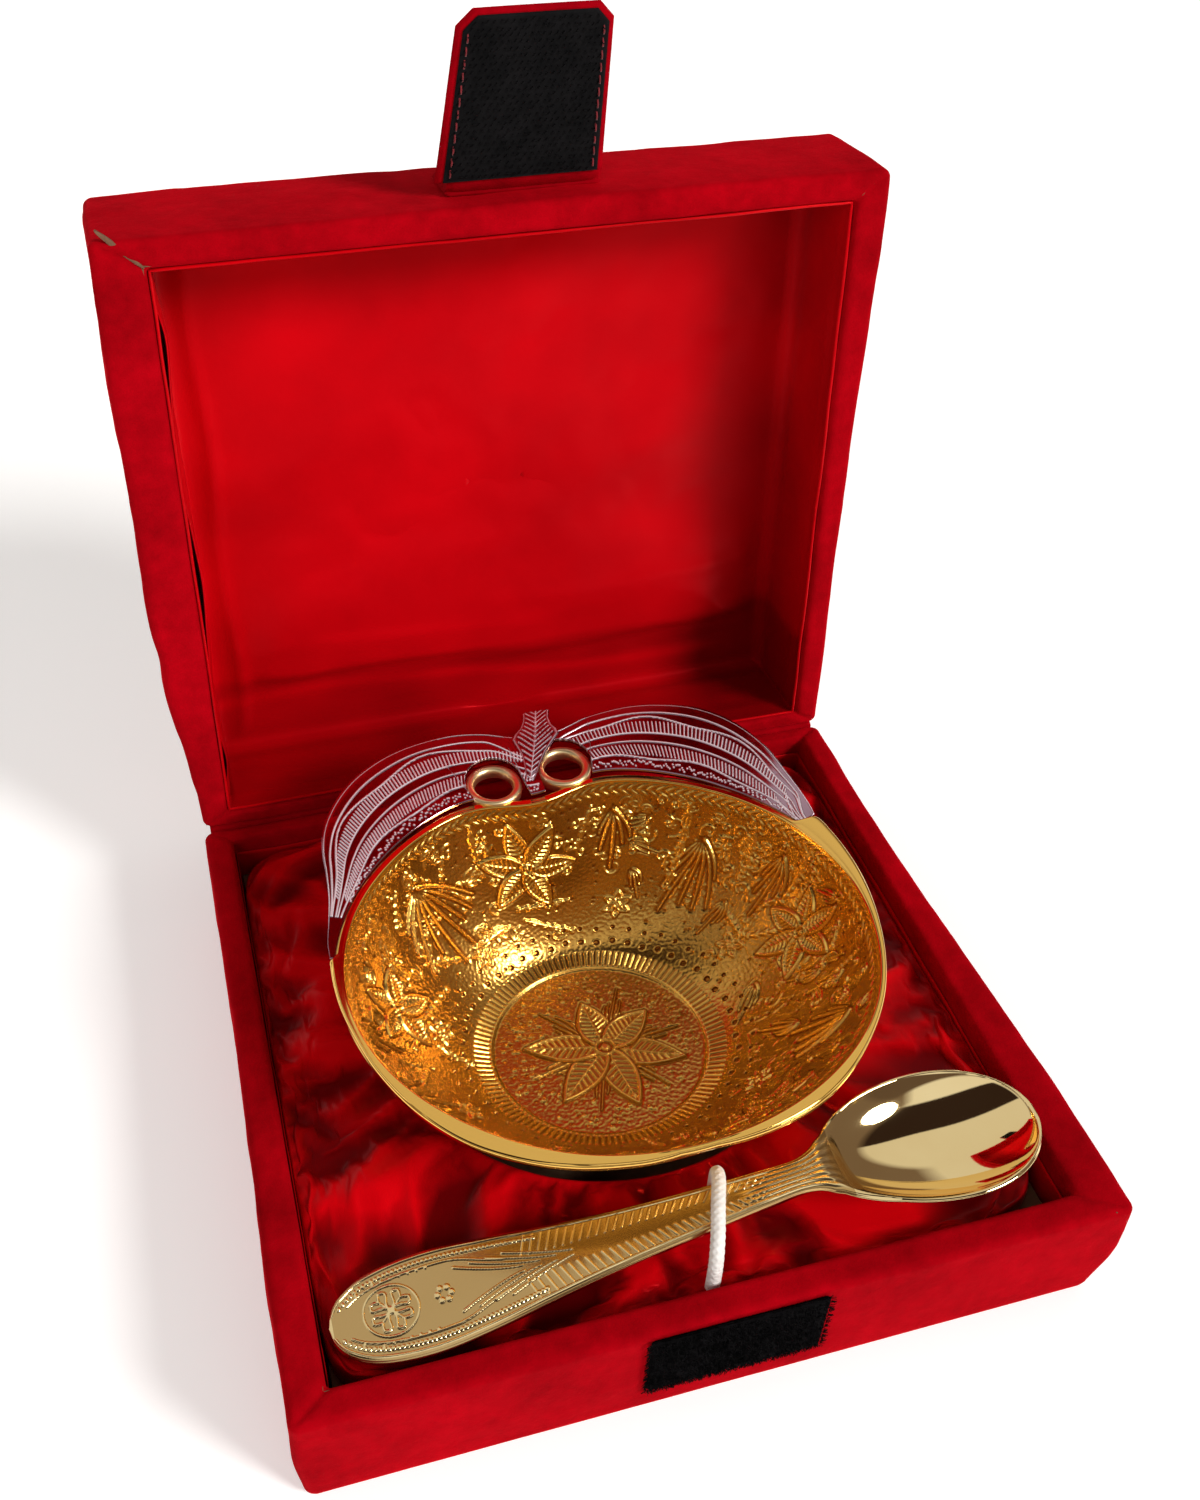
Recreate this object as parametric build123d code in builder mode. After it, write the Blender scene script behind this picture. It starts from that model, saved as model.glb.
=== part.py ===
from build123d import *
import math
import os

os.makedirs("parts", exist_ok=True)

# Offering bowl set: apple-shaped bowl with a leaf plate and a spoon, in a
# hinged velvet presentation box.  Millimetres, +Z up.  Origin: centre of the
# box's underside.  The front of the box (loop patch) faces -Y, the lid's
# hinge runs along X at the back.  The lid and its strap are drawn shut and
# then turned open.

# ================================================================ shared dimensions
BOX_X, BOX_Y = 152.0, 138.0
BASE_H = 26.0
LID_H = 28.0
RIM_GAP = 1.0            # between the two rims when shut, taken by the cloth hinge
WALL = 6.0               # front and side walls, board plus cloth
BACK_WALL = 3.6          # hinge-side walls
VELVET = 0.6
SATIN = 0.4
FLOOR_BOARD = 3.0
LID_BOARD = 2.4

CLEAR = 0.02             # gap on the broad faces of a board, and under cloth
END_CLEAR = 0.05         # gap at the ends of a board
OVERCUT = 0.1            # extra depth of a cut
CORNER_R = 0.55          # upright outer corners of the velvet

LID_OPEN = 95.0          # degrees the lid stands open
STRAP_SWING = 80.0       # degrees the strap stands forward from hanging down

FLOOR_TOP = VELVET + FLOOR_BOARD
LID_RIM_Z = BASE_H + RIM_GAP
LID_TOP_Z = LID_RIM_Z + LID_H
LID_BOARD_Z = LID_TOP_Z - VELVET - LID_BOARD     # underside of the lid's top board

# Box without its outer velvet
CORE_X, CORE_Y = BOX_X - 2 * VELVET, BOX_Y - 2 * VELVET
# Space between the walls, off centre in y because the back wall is thinner
INNER_X, INNER_Y = BOX_X - 2 * WALL, BOX_Y - WALL - BACK_WALL
MID_Y = (WALL - BACK_WALL) / 2
# The same space with the inner velvet added
SLEEVE_X, SLEEVE_Y = INNER_X + 2 * VELVET, INNER_Y + 2 * VELVET

HINGE_Z = BASE_H + RIM_GAP / 2
LID_TURN = (Axis((0, BOX_Y / 2, HINGE_Z), (1, 0, 0)), -LID_OPEN)


# ================================================================ helpers
def save(piece, label, *turns):
    """Apply the (axis, degrees) turns in order, then write the STEP file."""
    for axis, angle in turns:
        piece = piece.rotate(axis, angle)
    piece.label = label
    export_step(piece, "parts/" + label + ".step")


def panel(plane, centre, size, thickness):
    """Rectangular sheet, extruded from the plane along its normal."""
    with BuildPart() as sheet:
        with BuildSketch(plane):
            with Locations(centre):
                Rectangle(*size)
        extrude(amount=thickness)
    return sheet.part


def save_wall_boards(prefix, bottom, top, *turns):
    """Four boards standing in the walls of the base or the lid."""
    long_x = CORE_X - 2 * END_CLEAR
    side_y = SLEEVE_Y - 2 * END_CLEAR
    thick = WALL - 2 * VELVET - 2 * CLEAR
    back_thick = BACK_WALL - 2 * VELVET - 2 * CLEAR
    side_x = (BOX_X - WALL) / 2
    boards = (
        ("front", (0, -(BOX_Y - WALL) / 2), (long_x, thick)),
        ("back", (0, (BOX_Y - BACK_WALL) / 2), (long_x, back_thick)),
        ("left", (-side_x, MID_Y), (thick, side_y)),
        ("right", (side_x, MID_Y), (thick, side_y)),
    )
    for side, centre, size in boards:
        board = panel(Plane.XY.offset(bottom), centre, size, top - bottom)
        save(board, prefix + "_" + side + "_board", *turns)


def satin_lining(bottom, height):
    """Closed satin strip against the inside of the walls."""
    with BuildPart() as lining:
        with BuildSketch(Plane.XY.offset(bottom)):
            with Locations((0, MID_Y)):
                Rectangle(INNER_X - 0.02, INNER_Y - 0.02)
                Rectangle(INNER_X - 2 * SATIN, INNER_Y - 2 * SATIN, mode=Mode.SUBTRACT)
        extrude(amount=height)
    return lining.part


def box_corners(wrap):
    """Upright edges at the four outer corners of the box."""
    return wrap.edges().filter_by(Axis.Z).filter_by(
        lambda e: abs(abs(e.center().X) - BOX_X / 2) < 0.01
        and abs(abs(e.center().Y) - BOX_Y / 2) < 0.01)


# ================================================================ base shell
save(panel(Plane.XY.offset(VELVET), (0, 0),
           (CORE_X - 2 * END_CLEAR, CORE_Y - 2 * END_CLEAR), FLOOR_BOARD),
     "base_floor_board")

BASE_BOARD_TOP = BASE_H - VELVET
save_wall_boards("base", FLOOR_TOP + CLEAR, BASE_BOARD_TOP)

# Velvet over the outside, over the rim and down the inside of the walls
with BuildPart() as base_velvet_wrap:
    with BuildSketch(Plane.XY):
        Rectangle(BOX_X, BOX_Y)
    extrude(amount=BASE_H)
    # room for the floor board, open below
    with BuildSketch(Plane.XY.offset(-1.0)):
        Rectangle(CORE_X, CORE_Y)
    extrude(amount=FLOOR_TOP + 1.0, mode=Mode.SUBTRACT)
    # inside of the box, open above
    with BuildSketch(Plane.XY.offset(FLOOR_TOP - OVERCUT)):
        with Locations((0, MID_Y)):
            Rectangle(INNER_X, INNER_Y)
    extrude(amount=BASE_H, mode=Mode.SUBTRACT)
    # room for the wall boards
    with BuildSketch(Plane.XY.offset(FLOOR_TOP - OVERCUT)):
        Rectangle(CORE_X, CORE_Y)
        with Locations((0, MID_Y)):
            Rectangle(SLEEVE_X, SLEEVE_Y, mode=Mode.SUBTRACT)
    extrude(amount=BASE_BOARD_TOP - FLOOR_TOP + OVERCUT, mode=Mode.SUBTRACT)
    fillet(box_corners(base_velvet_wrap), radius=CORNER_R)
save(base_velvet_wrap.part, "base_velvet_wrap")

save(panel(Plane.XY, (0, 0), (CORE_X - 0.6, CORE_Y - 0.6), VELVET - CLEAR),
     "base_bottom_sheet")

save(satin_lining(FLOOR_TOP + 0.05, 21.5 - FLOOR_TOP), "base_satin_lining")

# Loop patch of the closure, on the front wall; centre and size in x, z
PATCH_CENTRE = (1.75, 16.0)
PATCH_SIZE = (33.5, 17.0)
PATCH_THICK = 0.93
with BuildPart() as front_loop_patch:
    with BuildSketch(Plane.XZ.offset(BOX_Y / 2 + CLEAR)):
        with Locations(PATCH_CENTRE):
            RectangleRounded(*PATCH_SIZE, 1.0)
    extrude(amount=PATCH_THICK)
save(front_loop_patch.part, "front_loop_patch")

# Cloth strips of the hinge, behind the back walls, one on each side of the hinge line
CLOTH_SIZE = (140.0, 13.4)
CLOTH_THICK = 0.5
CLOTH_RISE = 7.8         # hinge line to the middle of a strip
cloth_plane = Plane.XZ.offset(-BOX_Y / 2 - 0.05 - CLOTH_THICK)
save(panel(cloth_plane, (0, HINGE_Z - CLOTH_RISE), CLOTH_SIZE, CLOTH_THICK),
     "hinge_cloth_base")
save(panel(cloth_plane, (0, HINGE_Z + CLOTH_RISE), CLOTH_SIZE, CLOTH_THICK),
     "hinge_cloth_lid", LID_TURN)

# ================================================================ satin bed
BOWL_X, BOWL_Y = -1.3, -1.2          # middle of the bowl
HOLE_CENTRE = (BOWL_X, BOWL_Y + 1.5)
HOLE_A, HOLE_B = 42.4, 37.2          # bowl hole, half axes at the satin
CORD_BACK = (5.5, -44.9)             # where the cord comes up behind the handle
CORD_FRONT = (-0.5, -61.0)           # where it goes down in front
CORD_R = 1.35
CORD_HOLE_R = CORD_R + 0.15

CARD_X, CARD_Y = INNER_X - 2.2, INNER_Y - 2.2
CARD_RIM = 1.2                       # thickness of the card, top and turned-down sides
CARD_TOP = 14.8
BED_Z = 20.8                         # top of the satin

with BuildPart() as bed_card:
    with BuildSketch(Plane.XY.offset(FLOOR_TOP + 0.1)):
        with Locations((0, MID_Y)):
            Rectangle(CARD_X, CARD_Y)
    extrude(amount=CARD_TOP - FLOOR_TOP - 0.1)
    # hollow below
    with BuildSketch(Plane.XY.offset(FLOOR_TOP - 0.5)):
        with Locations((0, MID_Y)):
            Rectangle(CARD_X - 2 * CARD_RIM, CARD_Y - 2 * CARD_RIM)
    extrude(amount=CARD_TOP - CARD_RIM - FLOOR_TOP + 0.5, mode=Mode.SUBTRACT)
    # holes for the bowl and the cord
    with BuildSketch(Plane.XY.offset(12.0)):
        with Locations(HOLE_CENTRE):
            Ellipse(HOLE_A + 1.2, HOLE_B + 1.2)
        with Locations(CORD_BACK, CORD_FRONT):
            Circle(CORD_HOLE_R)
    extrude(amount=4.0, mode=Mode.SUBTRACT)
save(bed_card.part, "bed_card")

FOAM_Z = CARD_TOP + 0.05
with BuildPart() as bed_foam:
    with BuildSketch(Plane.XY.offset(FOAM_Z)):
        with Locations((0, MID_Y)):
            Rectangle(CARD_X - 0.2, CARD_Y - 0.2)
        with Locations(HOLE_CENTRE):
            Ellipse(HOLE_A + 0.5, HOLE_B + 0.5, mode=Mode.SUBTRACT)
        with Locations(CORD_BACK, CORD_FRONT):
            Circle(CORD_HOLE_R, mode=Mode.SUBTRACT)
    extrude(amount=BED_Z - SATIN - CLEAR - FOAM_Z)
save(bed_foam.part, "bed_foam")

# Satin over the foam, turned down at the walls and into the hole
SATIN_HEM_Z = 14.9
with BuildPart() as bed_satin:
    with BuildSketch(Plane.XY.offset(SATIN_HEM_Z)):
        with Locations((0, MID_Y)):
            Rectangle(CARD_X + 0.9, CARD_Y + 0.9)
        with Locations(HOLE_CENTRE):
            Ellipse(HOLE_A, HOLE_B, mode=Mode.SUBTRACT)
        with Locations(CORD_BACK, CORD_FRONT):
            Circle(CORD_HOLE_R, mode=Mode.SUBTRACT)
    extrude(amount=BED_Z - SATIN_HEM_Z)
    # room for the foam
    with BuildSketch(Plane.XY.offset(14.0)):
        with Locations((0, MID_Y)):
            Rectangle(CARD_X, CARD_Y)
        with Locations(HOLE_CENTRE):
            Ellipse(HOLE_A + SATIN, HOLE_B + SATIN, mode=Mode.SUBTRACT)
    extrude(amount=BED_Z - SATIN - 14.0, mode=Mode.SUBTRACT)
save(bed_satin.part, "bed_satin")

# Knots of the cord, under the card; the front one lies a little further back
KNOT_R, KNOT_Z = 2.2, 10.6
with BuildPart() as cord_knots:
    with Locations((*CORD_BACK, KNOT_Z), (CORD_FRONT[0], CORD_FRONT[1] + 3.3, KNOT_Z)):
        Sphere(KNOT_R)
save(cord_knots.part, "cord_knots")

# ================================================================ bowl
RIM_Z = 46.6             # top of the rim plate
FLANGE_Z = 44.6          # underside of the rim plate
BACK_DENT = 4.7          # dent of the rim at the back

# Bowl stations: half axis x, half axis y, height, dent depth, y shift of the middle
BOWL_CAVITY = [
    (53.0, 45.7, RIM_Z + 0.4, BACK_DENT, 0.0),
    (48.6, 40.4, 34.0, 3.2, 0.8),
    (40.0, 34.2, 22.0, 1.0, 1.8),
    (30.0, 26.8, 12.6, 0.0, 2.6),
    (22.5, 20.8, 8.8, 0.0, 2.8),
]
BOWL_OUTSIDE = [
    (54.6, 47.3, 44.8, BACK_DENT, 0.0),
    (50.4, 42.2, 34.0, 3.2, 0.8),
    (41.6, 35.8, 21.6, 1.0, 1.8),
    (31.0, 27.8, 11.2, 0.0, 2.6),
    (23.5, 21.8, 7.0, 0.0, 2.8),
]
FOOT_SHIFT = 2.8         # y shift of the foot ring


def bowl_outline(half_x, half_y, dent, shift=0.0, count=40):
    """Points of an ellipse with a shallow dent at the back, next to the eyelets."""
    points = []
    for k in range(count):
        angle = 2 * math.pi * k / count
        x, y = half_x * math.cos(angle), half_y * math.sin(angle)
        if y > 0:
            y -= dent * math.exp(-((x + 4.0) / 11.0) ** 2)
        points.append((BOWL_X + x, BOWL_Y + shift + y))
    return points


# Outer edge of the rim plate, x, y: apple-like lobes in front and at the sides,
# from the left end round the front to the right end
FLANGE_FRONT = [
    (-56.1, 8.9), (-56.4, 2.7), (-56.0, -3.5), (-54.7, -10.1), (-52.1, -18.9),
    (-47.2, -28.6), (-40.2, -37.0), (-31.8, -42.9), (-22.4, -46.9), (-12.2, -48.9),
    (-6.0, -49.1), (-1.3, -48.6), (3.5, -48.9), (9.0, -48.8), (16.0, -47.8),
    (24.2, -45.2), (31.8, -40.7), (39.0, -34.3), (45.4, -26.3), (49.9, -17.4),
    (52.9, -7.6), (54.4, 2.2), (54.2, 11.4), (52.8, 19.6), (51.4, 22.2),
]
# The back of the rim plate is narrow and follows the bowl
FLANGE_A, FLANGE_B = 54.9, 47.6
flange_back = [(x, y) for x, y in bowl_outline(FLANGE_A, FLANGE_B, BACK_DENT, count=72)
               if (x > 0 and y > 22.8) or (x <= 0 and y > 9.5)]
flange_outline = FLANGE_FRONT + flange_back

EYELETS = {"eyelet_left": (-13.3, 47.1), "eyelet_right": (3.1, 49.1)}
EYELET_R, EYELET_HOLE_R = 6.2, 4.3

with BuildPart() as bowl_body:
    for half_x, half_y, z, dent, shift in BOWL_OUTSIDE:
        with BuildSketch(Plane.XY.offset(z)):
            with BuildLine():
                Spline(*bowl_outline(half_x, half_y, dent, shift), periodic=True)
            make_face()
    loft()
    # rim plate
    with BuildSketch(Plane.XY.offset(FLANGE_Z)):
        Polygon(*flange_outline, align=None)
    extrude(amount=RIM_Z - FLANGE_Z)
    for half_x, half_y, z, dent, shift in BOWL_CAVITY:
        with BuildSketch(Plane.XY.offset(z)):
            with BuildLine():
                Spline(*bowl_outline(half_x, half_y, dent, shift), periodic=True)
            make_face()
    loft(mode=Mode.SUBTRACT)
    # seats of the eyelets
    with BuildSketch(Plane.XY.offset(40.0)):
        with Locations(*EYELETS.values()):
            Circle(EYELET_R + 0.03)
    extrude(amount=10.0, mode=Mode.SUBTRACT)
save(bowl_body.part, "bowl_body")

with BuildPart() as bowl_foot_ring:
    with BuildSketch(Plane.XY.offset(4.1)):
        with Locations((BOWL_X, BOWL_Y + FOOT_SHIFT)):
            Circle(20.4)
            Circle(17.6, mode=Mode.SUBTRACT)
    extrude(amount=2.88)
save(bowl_foot_ring.part, "bowl_foot_ring")

# Two rings let into the rim beside the stem
for label, centre in EYELETS.items():
    with BuildPart() as eyelet:
        with BuildSketch(Plane.XY.offset(44.4)):
            with Locations(centre):
                Circle(EYELET_R)
                Circle(EYELET_HOLE_R, mode=Mode.SUBTRACT)
        extrude(amount=3.0)
        fillet(eyelet.edges(), radius=0.9)
    save(eyelet.part, label)

# Leaf plate: two leaves and a stem, x, y; the last three points lie under the
# bowl's outline, which is cut away
LEAF_OUTLINE = [
    (-55.9, 9.1), (-55.7, 13.0), (-54.8, 17.6), (-53.6, 24.3), (-53.1, 30.4), (-52.8, 37.0),
    (-51.2, 43.4), (-47.6, 49.5), (-42.5, 54.7), (-35.5, 58.8), (-28.0, 61.2), (-19.5, 62.2),
    (-11.0, 61.5), (-5.6, 61.3), (-4.6, 62.8), (-3.8, 64.0), (-1.8, 64.7), (3.8, 64.7),
    (5.6, 64.0), (6.2, 62.1), (13.0, 61.9), (22.5, 61.8), (31.0, 60.4), (38.6, 57.1),
    (44.6, 51.7), (48.9, 44.1), (50.9, 34.6), (52.0, 26.5), (52.0, 22.3), (40.0, 18.0),
    (0.0, 28.0), (-40.0, 10.0),
]
# Side profile, y, z: rises gently towards the back
LEAF_UNDERSIDE = [(5.0, 45.1), (25.0, 45.3), (45.0, 47.0), (58.0, 48.8), (66.0, 49.35)]
LEAF_TOP = [(66.0, 50.4), (58.0, 49.9), (45.0, 48.1), (25.0, 46.4), (5.0, 46.2)]

with BuildPart() as leaf_plate:
    with BuildSketch(Plane.XY.offset(44.0)):
        Polygon(*LEAF_OUTLINE, align=None)
        Polygon(*flange_outline, align=None, mode=Mode.SUBTRACT)
    extrude(amount=8.0)
    # clear of the bowl's rim and the eyelets
    with BuildSketch(Plane.XY.offset(40.0)):
        with BuildLine():
            Spline(*bowl_outline(FLANGE_A + 0.06, FLANGE_B + 0.06, BACK_DENT, count=72),
                   periodic=True)
        make_face()
        with Locations(*EYELETS.values()):
            Circle(EYELET_R + 0.04)
    extrude(amount=15.0, mode=Mode.SUBTRACT)
    with BuildSketch(Plane.YZ.offset(-70.0)):
        with BuildLine():
            Spline(*LEAF_UNDERSIDE)
            Line(LEAF_UNDERSIDE[-1], LEAF_TOP[0])
            Spline(*LEAF_TOP)
            Line(LEAF_TOP[-1], LEAF_UNDERSIDE[0])
        make_face()
    extrude(amount=140.0, mode=Mode.INTERSECT)
save(leaf_plate.part, "leaf_plate")

# ================================================================ spoon
# Handle: x, half width
HANDLE = [
    (-68.0, 0.0), (-67.2, 3.2), (-65.0, 5.8), (-61.5, 7.8), (-56.0, 9.0), (-48.5, 9.3),
    (-39.0, 8.4), (-29.0, 7.0), (-19.0, 5.8), (-9.0, 4.9), (3.0, 4.1), (13.0, 3.5),
    (18.0, 3.2), (21.5, 3.6), (24.5, 5.0), (28.0, 6.8),
]
# Side profile of the handle, x, z
HANDLE_UNDERSIDE = [
    (-69.0, 22.6), (-50.0, 23.4), (-30.0, 25.0), (0.0, 27.9), (20.0, 30.3), (32.0, 30.9),
]
HANDLE_TOP = [
    (32.0, 32.4), (20.0, 32.0), (0.0, 29.7), (-30.0, 26.8), (-50.0, 25.2), (-69.0, 24.4),
]
# Spoon's bowl: half axis x, half axis y, height
SCOOP_CENTRE = (45.6, -48.5)
SCOOP_OUTSIDE = [
    (23.0, 13.3, 32.4), (22.2, 12.7, 30.2), (18.8, 10.6, 27.2), (12.4, 7.0, 24.7),
    (5.4, 3.1, 23.6),
]
SCOOP_CAVITY = [
    (22.1, 12.4, 32.6), (21.2, 11.7, 30.2), (17.4, 9.4, 27.4), (10.8, 5.8, 25.4),
    (4.4, 2.3, 24.7),
]


def handle_middle(x):
    """y of the handle's centre line, which runs slightly askew."""
    return -52.8 + 3.8 * (x + 60.0) / 110.0


def scoop_outline(half_x, half_y, count=40):
    """Egg-shaped outline of the spoon's bowl, fuller towards the tip."""
    points = []
    for k in range(count):
        angle = 2 * math.pi * k / count
        fullness = 1 + 0.16 * math.cos(angle)
        points.append((SCOOP_CENTRE[0] + half_x * math.cos(angle),
                       SCOOP_CENTRE[1] + half_y * math.sin(angle) * fullness))
    return points


handle_back = [(x, handle_middle(x) + half) for x, half in HANDLE]
handle_front = [(x, handle_middle(x) - half) for x, half in reversed(HANDLE[1:])]

with BuildPart() as spoon:
    with BuildSketch(Plane.XY.offset(15.0)):
        Polygon(*(handle_back + handle_front), align=None)
    extrude(amount=25.0)
    with BuildSketch(Plane.XZ.offset(35.0)):
        with BuildLine():
            Spline(*HANDLE_UNDERSIDE)
            Line(HANDLE_UNDERSIDE[-1], HANDLE_TOP[0])
            Spline(*HANDLE_TOP)
            Line(HANDLE_TOP[-1], HANDLE_UNDERSIDE[0])
        make_face()
    extrude(amount=35.0, mode=Mode.INTERSECT)
    for stations, mode in ((SCOOP_OUTSIDE, Mode.ADD), (SCOOP_CAVITY, Mode.SUBTRACT)):
        for half_x, half_y, z in stations:
            with BuildSketch(Plane.XY.offset(z)):
                with BuildLine():
                    Spline(*scoop_outline(half_x, half_y), periodic=True)
                make_face()
        loft(mode=mode)
save(spoon.part, "spoon")

# ================================================================ elastic cord
CORD_END_Z = 13.1
# Arch over the handle, x, y, z, between the two upright runs
CORD_ARCH = [
    (*CORD_BACK, 29.4), (5.1, -45.9, 31.9), (4.4, -48.2, 33.0), (2.8, -52.2, 32.9),
    (1.2, -56.7, 31.5), (0.0, -59.9, 28.5), (*CORD_FRONT, 24.4),
]
with BuildPart() as elastic_cord:
    with BuildLine() as cord_path:
        Line((*CORD_BACK, CORD_END_Z), CORD_ARCH[0])
        Spline(*CORD_ARCH, tangents=[(0, 0, 1), (0, 0, -1)])
        Line(CORD_ARCH[-1], (*CORD_FRONT, CORD_END_Z))
    with BuildSketch(Plane(origin=(*CORD_BACK, CORD_END_Z), z_dir=(0, 0, 1))):
        Circle(CORD_R)
    sweep(path=cord_path.line)
save(elastic_cord.part, "elastic_cord")

# ================================================================ lid
with BuildPart() as lid_velvet_wrap:
    with BuildSketch(Plane.XY.offset(LID_RIM_Z)):
        Rectangle(BOX_X, BOX_Y)
    extrude(amount=LID_H)
    # inside of the lid, open below
    with BuildSketch(Plane.XY.offset(LID_RIM_Z - 1.0)):
        with Locations((0, MID_Y)):
            Rectangle(INNER_X, INNER_Y)
    extrude(amount=LID_BOARD_Z - LID_RIM_Z + 1.0, mode=Mode.SUBTRACT)
    # room for the wall boards
    with BuildSketch(Plane.XY.offset(LID_RIM_Z + VELVET)):
        Rectangle(CORE_X, CORE_Y)
        with Locations((0, MID_Y)):
            Rectangle(SLEEVE_X, SLEEVE_Y, mode=Mode.SUBTRACT)
    extrude(amount=LID_H - 2 * VELVET - LID_BOARD + 0.05, mode=Mode.SUBTRACT)
    # room for the top board
    with BuildSketch(Plane.XY.offset(LID_BOARD_Z)):
        Rectangle(CORE_X, CORE_Y)
    extrude(amount=LID_BOARD, mode=Mode.SUBTRACT)
    fillet(box_corners(lid_velvet_wrap), radius=CORNER_R)
save(lid_velvet_wrap.part, "lid_velvet_wrap", LID_TURN)

save(panel(Plane.XY.offset(LID_BOARD_Z + CLEAR), (0, 0),
           (CORE_X - 2 * END_CLEAR, CORE_Y - 2 * END_CLEAR), LID_BOARD - 2 * CLEAR),
     "lid_top_board", LID_TURN)

lid_walls_top = LID_BOARD_Z - CLEAR
save_wall_boards("lid", LID_RIM_Z + VELVET + CLEAR, lid_walls_top, LID_TURN)

save(satin_lining(LID_RIM_Z + 1.2, lid_walls_top - LID_RIM_Z - 1.25),
     "lid_satin_lining", LID_TURN)

# Padding under the top board: foam with satin below it
pad_top = LID_BOARD_Z - 0.03
PAD_FOAM = 0.8
save(panel(Plane.XY.offset(pad_top - PAD_FOAM), (0, MID_Y),
           (INNER_X - 1.4, INNER_Y - 1.4), PAD_FOAM),
     "lid_pad_foam", LID_TURN)
save(panel(Plane.XY.offset(pad_top - PAD_FOAM - SATIN), (0, MID_Y),
           (INNER_X - 1.0, INNER_Y - 1.0), SATIN - CLEAR),
     "lid_pad_satin", LID_TURN)

# ================================================================ closure strap
# Drawn hanging in front of the shut box, swung forward about its fold line,
# then turned with the lid
STRAP_X0, STRAP_X1 = -13.0, 18.0     # the strap sits right of the middle
FOLD_Y, FOLD_Z = -BOX_Y / 2 - 3.0, 33.0
STRAP_TOP = FOLD_Z - 0.6
STRAP_BOTTOM = FOLD_Z - 32.8
STRAP_W = STRAP_X1 - STRAP_X0
STRAP_H = STRAP_TOP - STRAP_BOTTOM
STRAP_MID_X = (STRAP_X0 + STRAP_X1) / 2
STRAP_MID = (STRAP_MID_X, (STRAP_TOP + STRAP_BOTTOM) / 2)    # x, z
STRAP_TURNS = ((Axis((0, FOLD_Y, FOLD_Z), (1, 0, 0)), -STRAP_SWING), LID_TURN)

# Half thicknesses about the strap's middle plane
STRAP_HALF = 0.9
POCKET_HALF = 0.45
CARD_HALF = 0.42
PAD_THICK = 0.7
PAD_FACE_Y = FOLD_Y + STRAP_HALF + CLEAR + PAD_THICK

save(panel(Plane.XZ.offset(BOX_Y / 2 + CLEAR), (STRAP_MID_X, 39.9), (STRAP_W, 12.2), 1.6),
     "strap_fixed_tab", LID_TURN)

with BuildPart() as strap_velvet:
    with BuildSketch(Plane.XZ.offset(-FOLD_Y - STRAP_HALF)):
        with Locations(STRAP_MID):
            Rectangle(STRAP_W, STRAP_H)
    extrude(amount=2 * STRAP_HALF)
    chamfer(strap_velvet.edges().filter_by(Axis.Y).sort_by(Axis.Z)[0:2], length=3.0)
    # closed pocket for the card
    with BuildSketch(Plane.XZ.offset(-FOLD_Y - POCKET_HALF)):
        with Locations(STRAP_MID):
            Rectangle(STRAP_W - 7.0, STRAP_H - 7.0)
    extrude(amount=2 * POCKET_HALF, mode=Mode.SUBTRACT)
save(strap_velvet.part, "strap_velvet", *STRAP_TURNS)

save(panel(Plane.XZ.offset(-FOLD_Y - CARD_HALF), STRAP_MID,
           (STRAP_W - 7.1, STRAP_H - 7.1), 2 * CARD_HALF),
     "strap_card", *STRAP_TURNS)

# Hook pad on the face that is turned to the box when the strap hangs
with BuildPart() as strap_hook_pad:
    with BuildSketch(Plane.XZ.offset(-PAD_FACE_Y)):
        with Locations((STRAP_MID[0], STRAP_MID[1] + 0.1)):
            Rectangle(STRAP_W - 2.6, STRAP_H - 1.6)
    extrude(amount=PAD_THICK)
    chamfer(strap_hook_pad.edges().filter_by(Axis.Y).sort_by(Axis.Z)[0:2], length=2.4)
save(strap_hook_pad.part, "strap_hook_pad", *STRAP_TURNS)

# Two rows of stitches along the pad's side edges, lying on its face
STITCH_INSET = 2.3
STITCH_PITCH = 2.5
STITCHES_PER_ROW = 11
with BuildPart() as strap_stitching:
    for x in (STRAP_X0 + STITCH_INSET, STRAP_X1 - STITCH_INSET):
        for k in range(STITCHES_PER_ROW):
            with Locations((x, PAD_FACE_Y + 0.11, STRAP_BOTTOM + 4.0 + STITCH_PITCH * k)):
                Box(0.4, 0.2, 1.6)
save(strap_stitching.part, "strap_stitching", *STRAP_TURNS)
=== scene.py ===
"""An open presentation box in red velvet, holding a chased gold bowl and a spoon.

All sizes are millimetres until add_mesh turns them into metres.  x runs from left to
right, y from the front of the box (strap) to the back (hinge), z upwards from the ground.
Lid pieces are drawn with the lid shut and turned about the hinge by open_lid.
The silver leaf plate lies on the bowl's back edge, the spoon along the front wall.
"""
import math

import bmesh
import bpy
import numpy as np
from mathutils import Matrix, Vector


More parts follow.
